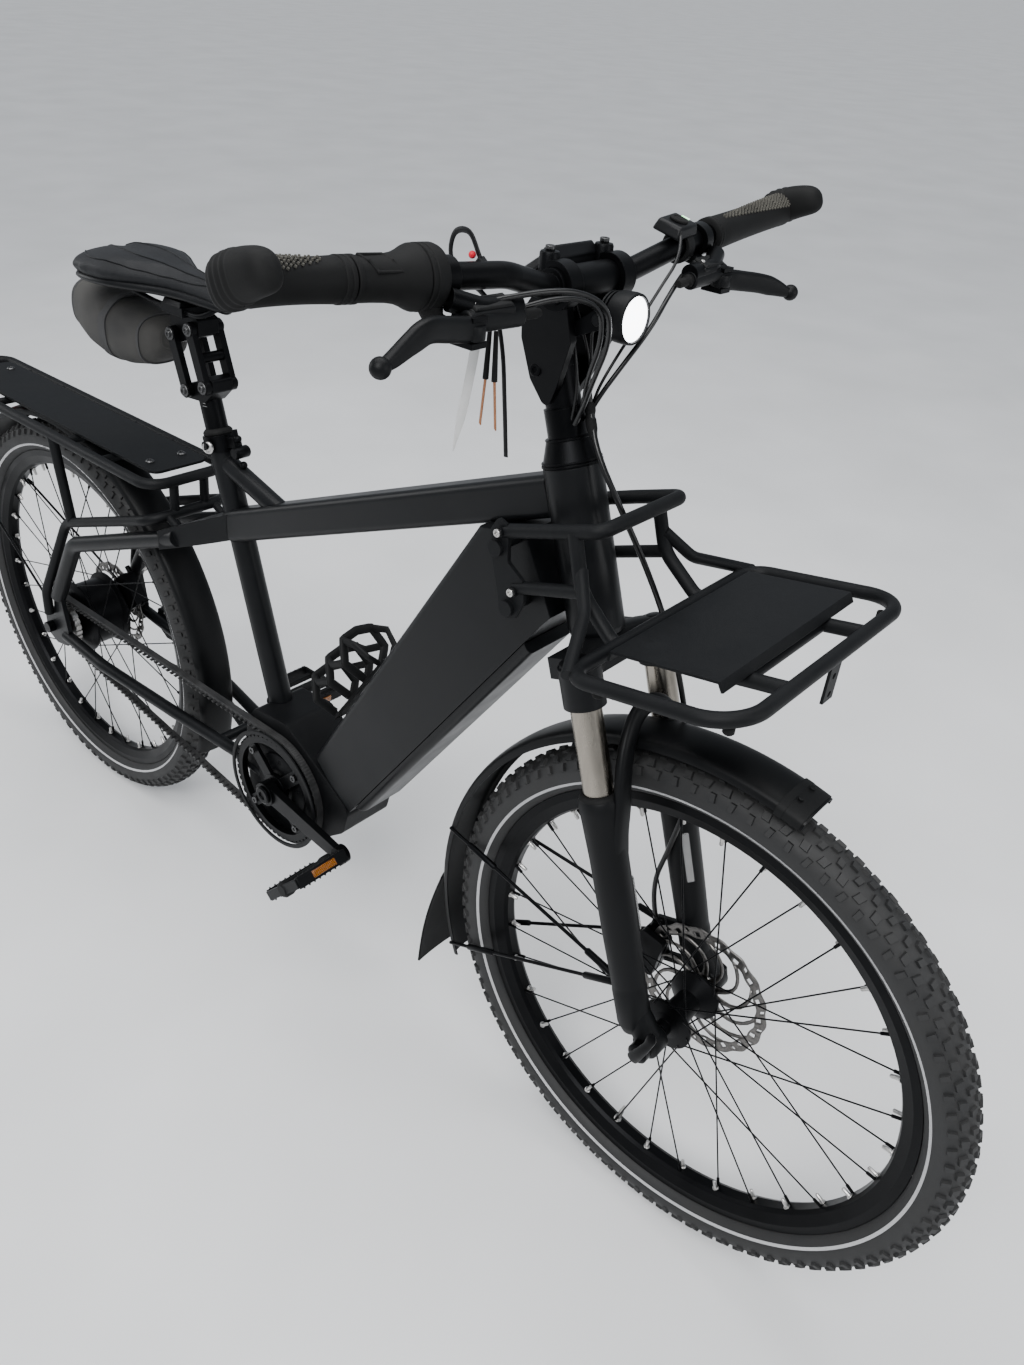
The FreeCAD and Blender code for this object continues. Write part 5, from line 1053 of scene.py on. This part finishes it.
CABLE_ROUTES = {
    "right_hose": (2.5, [(1050, -134, 1132), (1062, -96, 1142), (1076, -50, 1132), (1074, -38, 1098),
                         (1054, -26, 1056), (1041, -8, 1024), (1034, -7, 1004)]),
    "right_shift_cable": (2.5, [(1046, -200, 1140), (1076, -130, 1156), (1092, -66, 1142), (1088, -44, 1104),
                                (1066, -34, 1056), (1046, -15, 1024), (1037, -14, 1004)]),
    "left_hose": (2.5, [(1052, 116, 1134), (1062, 84, 1124), (1068, 50, 1096), (1056, 24, 1058),
                        (1046, 6, 1028), (1036, 4, 1004)]),
    "remote_lead": (1.6, [(1043, 116, 1172), (1058, 100, 1156), (1056, 74, 1128), (1052, 50, 1096),
                          (1044, 18, 1050), (1038, 12, 1026), (1035, 11, 1004)]),
}
FORK_HOSE = [(1034, 4, 1040), (1044, 2, 1014), (1064, -10, 984), (1100, -8, 936), (1124, 10, 884),
             steer(20, 66, 32), steer(-60, 70, 44), steer(-190, 69, 43), steer(-270, 30, 40), steer(-340, -12, 43),
             steer(-390, -15.3, 49)]
LAMP_LEADS = {
    "lamp_lead": (1.5, [(1034, 3, 1098), (1030, 6, 1088), (1034, 5, 1066), (1038, 2, 1040), (1032, 0, 1006)]),
    "shift_lead": (1.8, [(1006, -10, 1112), (1018, -10, 1092), (1030, -12, 1060), (1034, -11, 1030),
                         (1030, -11, 1004)]),
    "display_lead": (1.5, [(1000, 8, 1120), (1012, 9, 1098), (1026, 14, 1062), (1030, 15, 1030), (1027, 14, 1004)]),
}


def make_cables():
    for name, (radius, route) in CABLE_ROUTES.items():
        cord(name, route, radius, "steering", "hose", ["cables"] if name == "right_hose" else ())
    for name, (radius, route) in LAMP_LEADS.items():
        cord(name, route, radius, "steering", "hose")
    source = nurbs("fork_hose_line", FORK_HOSE, 3.2)
    bpy.context.view_layer.update()
    mesh = bpy.data.meshes.new_from_object(source)
    bpy.data.objects.remove(source)
    hose = bpy.data.objects.new("fork_hose", mesh)
    bpy.context.scene.collection.objects.link(hose)
    mesh.materials.clear()
    mesh.materials.append(MATERIALS["hose"])
    mesh.polygons.foreach_set("use_smooth", [True] * len(mesh.polygons))
    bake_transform(hose)
    joint = bmesh.new()
    sleeve_line = smooth_line([Vector((1040, 3, 1024)), Vector((1046, 0, 1008)), Vector((1056, -5, 993))], 6)
    sweep(joint, sleeve_line, [4.2, 5.4, 5.6, 5.6, 4.8, 4.8, 5.6, 5.6, 5.6, 5.4, 4.6, 4.2, 3.6], 18, up=(0, 1, 0))
    piece("hose_joint", joint, "steering", "rubber", (), 40)


def make_shop_ties():
    """What hangs on the right lever clamp: a cable tie's loop and tail, a blank tag and two spare leads."""
    loop = bmesh.new()
    path = [Vector(p) for p in ((1022, -152, 1170), (1008, -151, 1187), (990, -149, 1184), (986, -149, 1166),
                                (1000, -150, 1150), (1022, -150, 1144), (1040, -148, 1128), (1048, -145, 1098),
                                (1052, -142, 1056), (1057, -140, 1006))]
    sweep(loop, smooth_line(path, 6), 2.6, 8, 0.32, (0, 1, 0))
    block(loop, Vector((1024, -151, 1166)), (9, 7, 6), (0.8, 0, -0.6), (0.6, 0, 0.8))
    piece("cable_tie", loop, "steering", "cover", (), 40)
    tag = bmesh.new()
    strip = [Vector(p) for p in ((1030, -158, 1112), (1026, -159, 1080), (1020, -160, 1044), (1011, -160, 1002))]
    sweep(tag, smooth_line(strip, 5), [4.2] * 12 + [3.4, 2.4, 1.4, 0.6], 8, 0.09, (0.75, -0.65, 0))
    piece("blank_tag", tag, "steering", "paper", (), 30)
    for index, (drift, lean) in enumerate(((-3, -4), (4, 7))):
        lead = bmesh.new()
        top = Vector((1042 + drift, -153, 1116))
        sweep(lead, [top, top + Vector((lean * 0.3, 0, -42))], [2.0, 2.8], 14, up=(0, 1, 0))
        piece("spare_lead_%d" % index, lead, "steering", "rubber", (), 40)
        tip = bmesh.new()
        sweep(tip, [top + Vector((lean * 0.3, 0, -41)), top + Vector((lean, 0, -82)),
                    top + Vector((lean + 1, 0, -84))], [1.3, 1.2, 0.6], 10, up=(0, 1, 0))
        piece("spare_lead_end_%d" % index, tip, "steering", "copper", (), 40)
    bead = bmesh.new()
    ball(bead, (1014, -153, 1171), 3.2)
    piece("red_cap", bead, "steering", "red", (), 180)


def make_stem_details():
    screws = bmesh.new()
    for side in (-1, 1):
        socket_screw(screws, BAR + Vector((-14, side * 41, 29)), (0, 0, 1), 4.7, 3)
    piece("stem_screws", screws, "steering", "steel_dark", (), 30)
    ears = bmesh.new()
    for side in (-1, 1):
        turned(ears, [(0, 4), (9.5, 4), (9.5, 25), (8.5, 27), (5.2, 27.6), (0, 27.6)],
               BAR + Vector((-14, side * 41, 0)), (0, 0, 1), 32)
        out = Vector((0, side * 0.98, 0.19))
        turned(ears, [(0, -12), (6.6, -12), (6.6, 1.0), (5.8, 1.8), (3.4, 1.8), (3.1, 0.4), (0, 0.4)],
               Vector((994, side * 29.5, 1050)), out, 32)
    piece("stem_ears", ears, "steering", "metal", (), 30)
    rings = bmesh.new()
    for along, radius in ((188.5, 31.6), (191.5, 31.2), (214, 23.8)):
        turned(rings, [(radius - 3, 0), (radius, 0), (radius + 0.5, 0.6), (radius + 0.5, 1.8), (radius, 2.4),
                       (radius - 3, 2.4)], steer(along), STEER_UP, 64)
    piece("headset_rings", rings, "steering", "metal", (), 30)


# ---------- seat ----------

def padded(name, bm, body, finish, node, cap, pressure=4.0):
    """Cloth over a form: remeshed, puffed out by a short simulation and smoothed once."""
    bmesh.ops.recalc_face_normals(bm, faces=bm.faces)
    mesh = bpy.data.meshes.new(name)
    bm.to_mesh(mesh)
    bm.free()
    mesh.transform(STANCE)
    obj = bpy.data.objects.new(name, mesh)
    bpy.context.scene.collection.objects.link(obj)
    remesh = obj.modifiers.new("even", "REMESH")
    remesh.mode = "VOXEL"
    remesh.voxel_size = 0.0048
    bake(obj)
    puff(obj, cap, pressure)
    obj.data.materials.append(MATERIALS[finish])
    smoothing = obj.modifiers.new("smooth", "SMOOTH")
    smoothing.iterations = 3
    dress(obj, body, [node], 180, 1)
    return obj


def bake(obj):
    """Replace an object's mesh by what its modifiers make of it."""
    view = bpy.context.evaluated_depsgraph_get()
    mesh = bpy.data.meshes.new_from_object(obj.evaluated_get(view))
    obj.modifiers.clear()
    obj.data = mesh


def puff(obj, cap, pressure):
    scene = bpy.context.scene
    start = [vertex.co.copy() for vertex in obj.data.vertices]
    cloth = obj.modifiers.new("puff", "CLOTH")
    cloth.settings.quality = 5
    cloth.settings.mass = 0.2
    cloth.settings.tension_stiffness = 12
    cloth.settings.compression_stiffness = 12
    cloth.settings.use_pressure = True
    cloth.settings.uniform_pressure_force = pressure
    cloth.settings.effector_weights.gravity = 0
    for step in range(1, 21):
        scene.frame_set(step)
    bake(obj)
    scene.frame_set(1)
    for vertex, before in zip(obj.data.vertices, start):
        shift = vertex.co - before
        if shift.length > cap:
            vertex.co = before + shift.normalized() * cap


SADDLE_STATIONS = [  # along, half width, middle height, half thickness
    (190, 36, 996, 11), (198, 60, 998, 17), (214, 74, 1000, 19.5), (240, 79, 1001, 20.5), (276, 77, 1002, 20),
    (306, 66, 1002, 19), (336, 50, 1002, 18), (364, 36, 1001, 17), (392, 28, 1000, 16), (430, 22, 998, 15),
    (456, 18, 996, 13), (468, 13, 994, 10), (473, 6, 992, 5),
]


def saddle_section(along, half, height, thick):
    """One cross section: a crowned top with a hollow down the middle, sides that tuck under."""
    ring = []
    for i in range(32):
        turn = 2 * math.pi * i / 32
        c, s = math.cos(turn), math.sin(turn)
        y = math.copysign(abs(c) ** 0.8, c) * half
        z = math.copysign(abs(s) ** 0.75, s) * thick
        if s > 0:
            z -= 3.4 * math.exp(-(y / 9) ** 2) * min(1, half / 40)
        else:
            y *= 1 - 0.28 * abs(s)
        ring.append(Vector((along, y, height + z)))
    return ring


def make_saddle():
    bm = bmesh.new()
    ring_faces(bm, [saddle_section(*station) for station in SADDLE_STATIONS])
    pad = padded("saddle_pad", bm, "seat", "leather", "saddle", 0.005)
    shell = bmesh.new()
    rings = []
    for along, half, height, thick in SADDLE_STATIONS[1:-1]:
        rings.append(oval_ring((along, 0, height - thick * 0.55), (0, 1, 0), (0, 0, 1), half * 0.93 + 1.5,
                               thick * 0.5, 28, 2.6))
    ring_faces(shell, rings)
    piece("saddle_shell", shell, "seat", "cover", (), 60, 1)
    make_saddle_seams(pad)


def skin_of(obj):
    """The finished surface of a piece, for laying seams on it."""
    bpy.context.view_layer.update()
    evaluated = obj.evaluated_get(bpy.context.evaluated_depsgraph_get())
    mesh = evaluated.to_mesh()
    tree = BVHTree.FromPolygons([v.co.copy() for v in mesh.vertices], [tuple(p.vertices) for p in mesh.polygons])
    evaluated.to_mesh_clear()
    return tree


def drop_on(tree, x, y, lift=0.3):
    """The point of a surface straight below, in the upright drawing."""
    start = STANCE @ Vector((x, y, 1100))
    down = (STANCE.to_3x3() @ Vector((0, 0, -1))).normalized()
    hit, normal = tree.ray_cast(start, down)[:2]
    if hit is None:
        return None
    return STANCE.inverted() @ (hit + normal * (lift / 1000))


def make_saddle_seams(pad):
    tree = skin_of(pad)
    bm = bmesh.new()
    for side in (-1, 1):
        outer = [(206, 44), (240, 62), (276, 61), (310, 50), (344, 35), (380, 22), (424, 14), (452, 10)]
        inner = [(212, 14), (250, 22), (300, 24), (350, 16), (400, 9), (440, 6)]
        for line in (outer, inner):
            path = [drop_on(tree, p.x, p.y) for p in smooth_line([Vector((x, side * y, 0)) for x, y in line], 8)]
            path = [p for p in path if p]
            sweep(bm, path, 0.95, 8, up=(0, 0, 1))
    piece("saddle_seams", bm, "seat", "cover", (), 60)


BAG_STATIONS = [(134, 20, 940, 14), (140, 36, 938, 24), (156, 46, 931, 38), (186, 50, 922, 44), (222, 50, 914, 44),
                (262, 46, 910, 40), (296, 39, 911, 34), (320, 30, 915, 25), (330, 22, 919, 16)]


def make_saddle_bag():
    bm = bmesh.new()
    ring_faces(bm, [oval_ring((x, 0, z), (0, 1, 0), (0, 0, 1), half, high, 28, 2.9)
                    for x, half, z, high in BAG_STATIONS])
    bag = padded("saddle_bag_body", bm, "seat", "cloth", "saddle_bag", 0.004, 3.0)
    tree = skin_of(bag)
    trim = bmesh.new()
    for x in (154, 300):
        lay_band(trim, tree, Vector((x, 0, 920)), 2.6, 1.2, 0, 360)
    piece("saddle_bag_binding", trim, "seat", "webbing", (), 50)
    strap = bmesh.new()
    lay_band(strap, tree, Vector((232, 0, 925)), 8.5, 1.3, 0, 360)
    piece("saddle_bag_strap", strap, "seat", "webbing", (), 50)


def lay_band(bm, tree, centre, half_wide, thick, start, end, steps=72):
    """A flat band laid round a finished surface, in the plane across the bicycle."""
    turn_in = STANCE.inverted()
    rings = []
    for i in range(steps + 1):
        turn = math.radians(start + (end - start) * i / steps)
        out = Vector((0, math.cos(turn), math.sin(turn)))
        far = STANCE @ (centre + out * 120)
        hit = tree.ray_cast(far, (STANCE @ centre - far).normalized())[0]
        spot = turn_in @ hit if hit else centre + out * 40
        rings.append([spot + Vector((dx, 0, 0)) + out * lift for dx, lift in
                      ((-half_wide, -1.0), (-half_wide, thick), (half_wide, thick), (half_wide, -1.0))])
    ring_faces(bm, rings, True, True)


LINK_LEAN, LINK_LENGTH = math.radians(19), 75
SEAT_LEAN = math.radians(73.5)
SEAT_COLLAR = Vector((424, 0, 800))


def make_seat_details():
    """The seatpost's screws, the rail clamp's top, the collar's lock, knob and seal, and the height marks."""
    link_up = Vector((-math.sin(LINK_LEAN), 0, math.cos(LINK_LEAN))) * LINK_LENGTH
    for body, low in (("front_link", Vector((428, 0, 880))), ("rear_link", Vector((386, 0, 866)))):
        screws = bmesh.new()
        for pivot in (low, low + link_up):
            for side in (-1, 1):
                disc(screws, pivot + LEFTWARD * side * 25, LEFTWARD * side, 8.6, 2.2, 0.8)
                socket_screw(screws, pivot + LEFTWARD * side * 27, LEFTWARD * side, 5.2, 2.6)
        piece(body + "_screws", screws, body, "steel_dark", (), 30)
    clamp = bmesh.new()
    for x in (362, 392):
        for side in (-1, 1):
            socket_screw(clamp, Vector((x, side * 9, 960)), (0, 0, -1), 3.6, 4)
    block(clamp, Vector((377, 0, 981)), (40, 60, 7), (1, 0, 0), (0, 0, 1), 0.9)
    piece("rail_clamp_top", clamp, "seat", "metal", (), 30, 0, 0.8)
    lock = bmesh.new()
    seat_up = Vector((-math.cos(SEAT_LEAN), 0, math.sin(SEAT_LEAN)))
    side_out = Vector((0.36, -0.93, 0))
    turned(lock, [(0, 0), (8.6, 0), (8.6, 2.6), (7.6, 3.4), (5.6, 3.4), (5.2, 2.4), (1.4, 2.4), (1.2, 1.2), (0, 1.2)],
           SEAT_COLLAR + side_out * 29, side_out, 32)
    piece("seat_lock", lock, "frame", "steel", (), 30)
    handle = bmesh.new()
    base = SEAT_COLLAR + Vector((46, 0, -2))
    for end in (-1, 1):
        ball(handle, base + seat_up * end * 18, 5.4)
    turned(handle, [(0, -12), (7, -12), (8.4, -10), (8.4, 10), (7, 12), (0, 12)], base, LEFTWARD, 24)
    piece("seat_clamp_knob", handle, "frame", "metal", (), 40)
    boot = bmesh.new()
    foot = SEAT_COLLAR + seat_up * 10
    turned(boot, [(15.8, 0), (19.5, 0), (20.2, 1), (20.2, 5), (18.6, 7), (16.4, 9), (15.8, 9)], foot, seat_up, 48)
    piece("seat_collar_seal", boot, "frame", "rubber", (), 40)
    scale = bmesh.new()
    for i in range(9):
        mark = SEAT_COLLAR + seat_up * (52 + 4 * i) + Vector((0.36, -0.93, 0)) * 15.7
        block(scale, mark, (4 if i % 2 else 6.5, 0.5, 0.6), (0.93, 0.36, 0), seat_up)
    piece("post_scale", scale, "post", "engraved", (), 0)


# ---------- frame details ----------

def make_cage():
    """The bottle cage: a base strip and two moulded zigzag rails with their steps."""
    lean = math.atan2(0.567, 0.824)
    turn = Matrix.Rotation(lean, 4, "Y")
    place_at = Matrix.Translation(Vector((726, 0, 532))) @ turn

    def spot(x, y, z):
        return place_at @ Vector((x, y, z))

    bm = bmesh.new()
    outline = [(8, -15), (34, -36), (62, -25), (66, 0), (62, 25), (34, 36), (8, 15)]
    levels = (-66, -14, 38)
    for z in levels:
        loop = []
        for (x0, y0), (x1, y1) in zip(outline[:-1], outline[1:]):
            for share in (0.0, 0.12, 0.88):
                x, y = x0 + (x1 - x0) * share, y0 + (y1 - y0) * share
                loop.append(spot(-x, y, z + 0.45 * x - 8))
        loop.append(spot(-8, 15, z - 4))
        sweep(bm, loop, 6.6, 14, 0.55, turn.to_3x3() @ Vector((0.4, 0, 1)))
    for low, high in zip(levels[:-1], levels[1:]):
        for side in (-1, 1):
            sweep(bm, [spot(-61, side * 26, low + 20), spot(-50, side * 31, low + 26), spot(-35, side * 36, high + 7)],
                  5.6, 12, 0.6, (0, 1, 0))
    for side in (-1, 1):
        sweep(bm, [spot(-x, side * y, z) for x, y, z in ((61, 26, 58), (44, 30, 78), (20, 24, 80), (6, 10, 74))],
              5.6, 12, 0.6, (0, 1, 0))
    block(bm, spot(-4.5, 0, 4), (26, 180, 5), (0, 1, 0), turn.to_3x3() @ Vector((-1, 0, 0)), 0.9)
    piece("cage_rails", bm, "frame", "plastic", ["bottle_cage"], 45, 0, 0.8)
    screws = bmesh.new()
    out = turn.to_3x3() @ Vector((-1, 0, 0))
    for z in (-28, 36):
        socket_screw(screws, spot(-6.6, 0, z), out, 4.6, 2.8)
    piece("cage_screws", screws, "frame", "steel_dark", (), 30)


def make_pedals():
    """Each pedal: two toothed cage plates, end plates, a barrel with its axle and an amber reflector fore and aft."""
    droop = math.radians(-4)
    reach = Vector((math.cos(droop), 0, math.sin(droop))) * 170
    for name, side, forward, tilt in (("right", -1, 1, -46), ("left", 1, -1, 0)):
        axle = BRACKET + reach * forward
        turn = Matrix.Rotation(math.radians(tilt), 3, "Y")
        ahead, up = turn @ Vector((1, 0, 0)), turn @ Vector((0, 0, 1))

        def spot(x, reach_out, z, base=axle, first=ahead, high=up, sign=side):
            return base + first * x + high * z + LEFTWARD * sign * reach_out

        body = name + "_pedal"
        cage = bmesh.new()
        for x in (-46, 46):
            block(cage, spot(x, 138, 0), (84, 5, 17), LEFTWARD, up)
            for i in range(9):
                for z in (-1, 1):
                    block(cage, spot(x, 102 + 9 * i, z * 9.2), (3.4, 3.4, 3.0), LEFTWARD, up * z, 0.4)
        for out_at in (98, 180):
            block(cage, spot(0, out_at, 0), (92, 5, 14), ahead, up)
        piece("pedal_cage_" + name, cage, body, "satin", ["pedal_" + name], 30, 0, 0.7)
        barrel = bmesh.new()
        turned(barrel, [(5.4, 94), (10, 94), (12, 97), (12, 108), (9.5, 114), (9.5, 164), (12, 170), (12, 180),
                        (9, 184), (0, 184), (0, 182), (5.4, 182)], axle, LEFTWARD * side, 36)
        for x in (-28, 28):
            block(barrel, spot(x, 139, 0), (76, 8, 9), LEFTWARD, up, 0.9)
        piece("pedal_barrel_" + name, barrel, body, "plastic", (), 35, 0, 0.6)
        for index, x in enumerate((-49.5, 49.5)):
            amber = bmesh.new()
            block(amber, spot(x, 136, 0), (40, 2.6, 10), LEFTWARD, up)
            piece("pedal_reflector_%s_%d" % (name, index), amber, body, "amber", (), 30, 0, 0.8)


def make_rack_details():
    screws = bmesh.new()
    for x in (283, -225):
        for y in (-27, 27):
            turned(screws, [(0, 0), (6.6, 0), (6.6, 1), (5, 2.6), (3, 3), (2.8, 1.6), (0, 1.6)],
                   Vector((x, y, 732.2)), (0, 0, 1), 28)
    piece("deck_screws", screws, "frame", "steel_dark", (), 30)
    lamp = bmesh.new()
    block(lamp, Vector((-306, 0, 690)), (78, 16, 38), LEFTWARD, (0, 0, 1), 0.94)
    piece("rear_lamp_case", lamp, "frame", "plastic", (), 35, 0, 4)
    plates = bmesh.new()
    for side in (-1, 1):
        for x, z in ((1002, 893), (1026, 834)):
            socket_screw(plates, Vector((x, side * 76, z)), (0, side, 0), 4.4, 3)
    piece("side_plate_screws", plates, "frame", "steel", (), 30)
    rim = bmesh.new()
    for x, y, z in ((1330, -150, 858), (1205, -162, 838), (1330, 150, 858), (1205, 162, 838)):
        turned(rim, [(0, 0), (5, 0), (5.4, 1), (5.4, 6), (4, 7.5), (0, 7.5)], Vector((x, y, z)), (0, 0, -1), 20)
    piece("carrier_studs", rim, "frame", "rubber", (), 35)


def make_drive_details():
    """Crank bolts and boss rings, the sprocket's ring bolts and the motor's cover lines."""
    for name, side in SIDES:
        cap = bmesh.new()
        turned(cap, [(0, 0), (13, 0), (14.4, 1), (14.4, 3), (12, 4.4), (7, 4.4), (6, 2.2), (0, 2.2)],
               BRACKET + LEFTWARD * side * 80, LEFTWARD * side, 40)
        piece("crank_cap_" + name, cap, "crank", "metal", (), 30)
    bolts = bmesh.new()
    for i in range(4):
        turn = math.radians(45 + 90 * i)
        spot = BRACKET + Vector((math.cos(turn) * 68, -61, math.sin(turn) * 68))
        socket_screw(bolts, spot, (0, -1, 0), 5.6, 3)
    piece("sprocket_bolts", bolts, "crank", "steel_dark", (), 30)
    guard = bmesh.new()
    turned(guard, [(92, -62), (97.6, -62), (98.6, -62.8), (98.6, -64), (97.6, -64.8), (93, -64.8), (92, -64)], BRACKET,
           LEFTWARD, 120)
    piece("sprocket_guard", guard, "crank", "satin", (), 30)
    for name, side in SIDES:
        cover = bmesh.new()
        turned(cover, [(28, 44), (52, 44), (54, 45), (54, 46.6), (52, 47.6), (34, 49), (28, 49)], BRACKET,
               LEFTWARD * side, 72)
        for i in range(5):
            turn = math.radians(20 + 72 * i)
            socket_screw(cover, BRACKET + Vector((math.cos(turn) * 43, side * 47.4, math.sin(turn) * 43)),
                         LEFTWARD * side, 3.2, 1.8)
        piece("motor_cover_" + name, cover, "frame", "shell", (), 30)
    teeth = bmesh.new()
    add_belt_teeth(teeth)
    piece("belt_teeth", teeth, "frame", "belt", (), 30)


def add_belt_teeth(bm):
    """The belt's inner teeth along its two straight runs."""
    front, rear = Vector((590, -56, 312)), Vector((0, -56, 350))
    front_radius, rear_radius = 11 * 52 / (2 * math.pi) - 0.3, 11 * 26 / (2 * math.pi) - 0.3
    run = front - rear
    spread = math.acos((front_radius - rear_radius) / run.length)
    heading = math.atan2(run.z, run.x)
    for sign in (-1, 1):
        angle = heading + math.pi + sign * spread
        out = Vector((math.cos(angle), 0, math.sin(angle)))
        start, end = rear + out * rear_radius, front + out * front_radius
        count = int((end - start).length / 11)
        for i in range(1, count):
            block(bm, start.lerp(end, i / count) - out * 1.4, (4.6, 10, 3.2), (end - start), -out, 0.7)


# ---------- room, light and camera ----------

VIEW_FROM = Vector((1640.3, -845.4, 1350.4))
VIEW_RIGHT = Vector((0.75195, 0.65407, 0.08226))
VIEW_DOWN = Vector((0.40584, -0.36097, -0.83964))
VIEW_AHEAD = Vector((-0.51949, 0.66475, -0.53688))
FOCAL_SHARE = 1067.6 / 1365


def make_camera():
    camera = bpy.data.objects.new("camera", bpy.data.cameras.new("camera"))
    bpy.context.scene.collection.objects.link(camera)
    camera.data.sensor_width = 36
    camera.data.lens = FOCAL_SHARE * 36
    camera.data.clip_start = 0.01
    turn = STANCE.to_3x3().normalized()
    columns = [turn @ v for v in (VIEW_RIGHT, -VIEW_DOWN, -VIEW_AHEAD)]
    matrix = Matrix(columns).transposed().to_4x4()
    matrix.translation = STANCE @ VIEW_FROM
    camera.matrix_world = matrix
    bpy.context.scene.camera = camera


def make_floor():
    """A plain pale floor, wide enough for every view."""
    bm = bmesh.new()
    bm.faces.new([bm.verts.new((x, y, -0.0005)) for x, y in ((-400, -400), (400, -400), (400, 400), (-400, 400))])
    mesh = bpy.data.meshes.new("floor")
    bm.to_mesh(mesh)
    bm.free()
    floor = bpy.data.objects.new("floor", mesh)
    bpy.context.scene.collection.objects.link(floor)
    material, tree, shader = new_material("floor_paint", (0.72, 0.725, 0.73), 0.45)
    cloud = add(tree, "TexNoise", Vector=place(tree), Scale=2.2, Detail=3.0)
    tree.links.new(ramp(tree, cloud.outputs["Fac"], [(0.3, (0.68, 0.685, 0.69)), (0.7, (0.76, 0.763, 0.77))]),
                   shader.inputs["Base Color"])
    mesh.materials.append(material)


def area_light(name, where, target, size, power, color=(1, 1, 1)):
    light = bpy.data.lights.new(name, "AREA")
    light.shape = "RECTANGLE"
    light.size, light.size_y = size
    light.energy = power
    light.color = color
    lamp = bpy.data.objects.new(name, light)
    bpy.context.scene.collection.objects.link(lamp)
    lamp.location = where
    lamp.rotation_euler = (Vector(target) - Vector(where)).to_track_quat("-Z", "Y").to_euler()


def make_lights():
    sun = bpy.data.lights.new("window", "SUN")
    sun.energy = 2.0
    sun.angle = 0.7
    lamp = bpy.data.objects.new("window", sun)
    lamp.rotation_euler = (math.radians(28), math.radians(14), 0)
    bpy.context.scene.collection.objects.link(lamp)
    area_light("key", (1.2, -2.6, 3.0), (0.1, 0, 0.5), (2.2, 1.2), 80)
    area_light("overhead", (-0.2, 0.3, 3.1), (0, 0, 0.4), (3.0, 1.4), 60)
    area_light("front_fill", (3.0, 0.6, 1.6), (0.2, 0, 0.5), (1.4, 1.4), 24)
    area_light("rear_fill", (-3.0, -1.2, 1.8), (-0.2, 0, 0.5), (1.4, 1.4), 24)
    world = bpy.data.worlds.new("studio")
    world.use_nodes = True
    world.node_tree.nodes["Background"].inputs["Color"].default_value = (0.80, 0.86, 0.94, 1)
    world.node_tree.nodes["Background"].inputs["Strength"].default_value = 0.42
    bpy.context.scene.world = world


finish_cad_nodes()
make_camera()
make_floor()
make_lights()
make_wheels()
make_rear_mudguard()
make_front_mudguard()
make_fork_casting()
make_fork_details()
make_grip("right", -1, 293)
make_grip("left", 1, 196)
make_shifter()
make_levers()
make_master_details()
make_headlight()
make_display()
make_remote()
make_cables()
make_shop_ties()
make_stem_details()
make_saddle()
make_saddle_bag()
make_seat_details()
make_cage()
make_pedals()
make_rack_details()
make_drive_details()
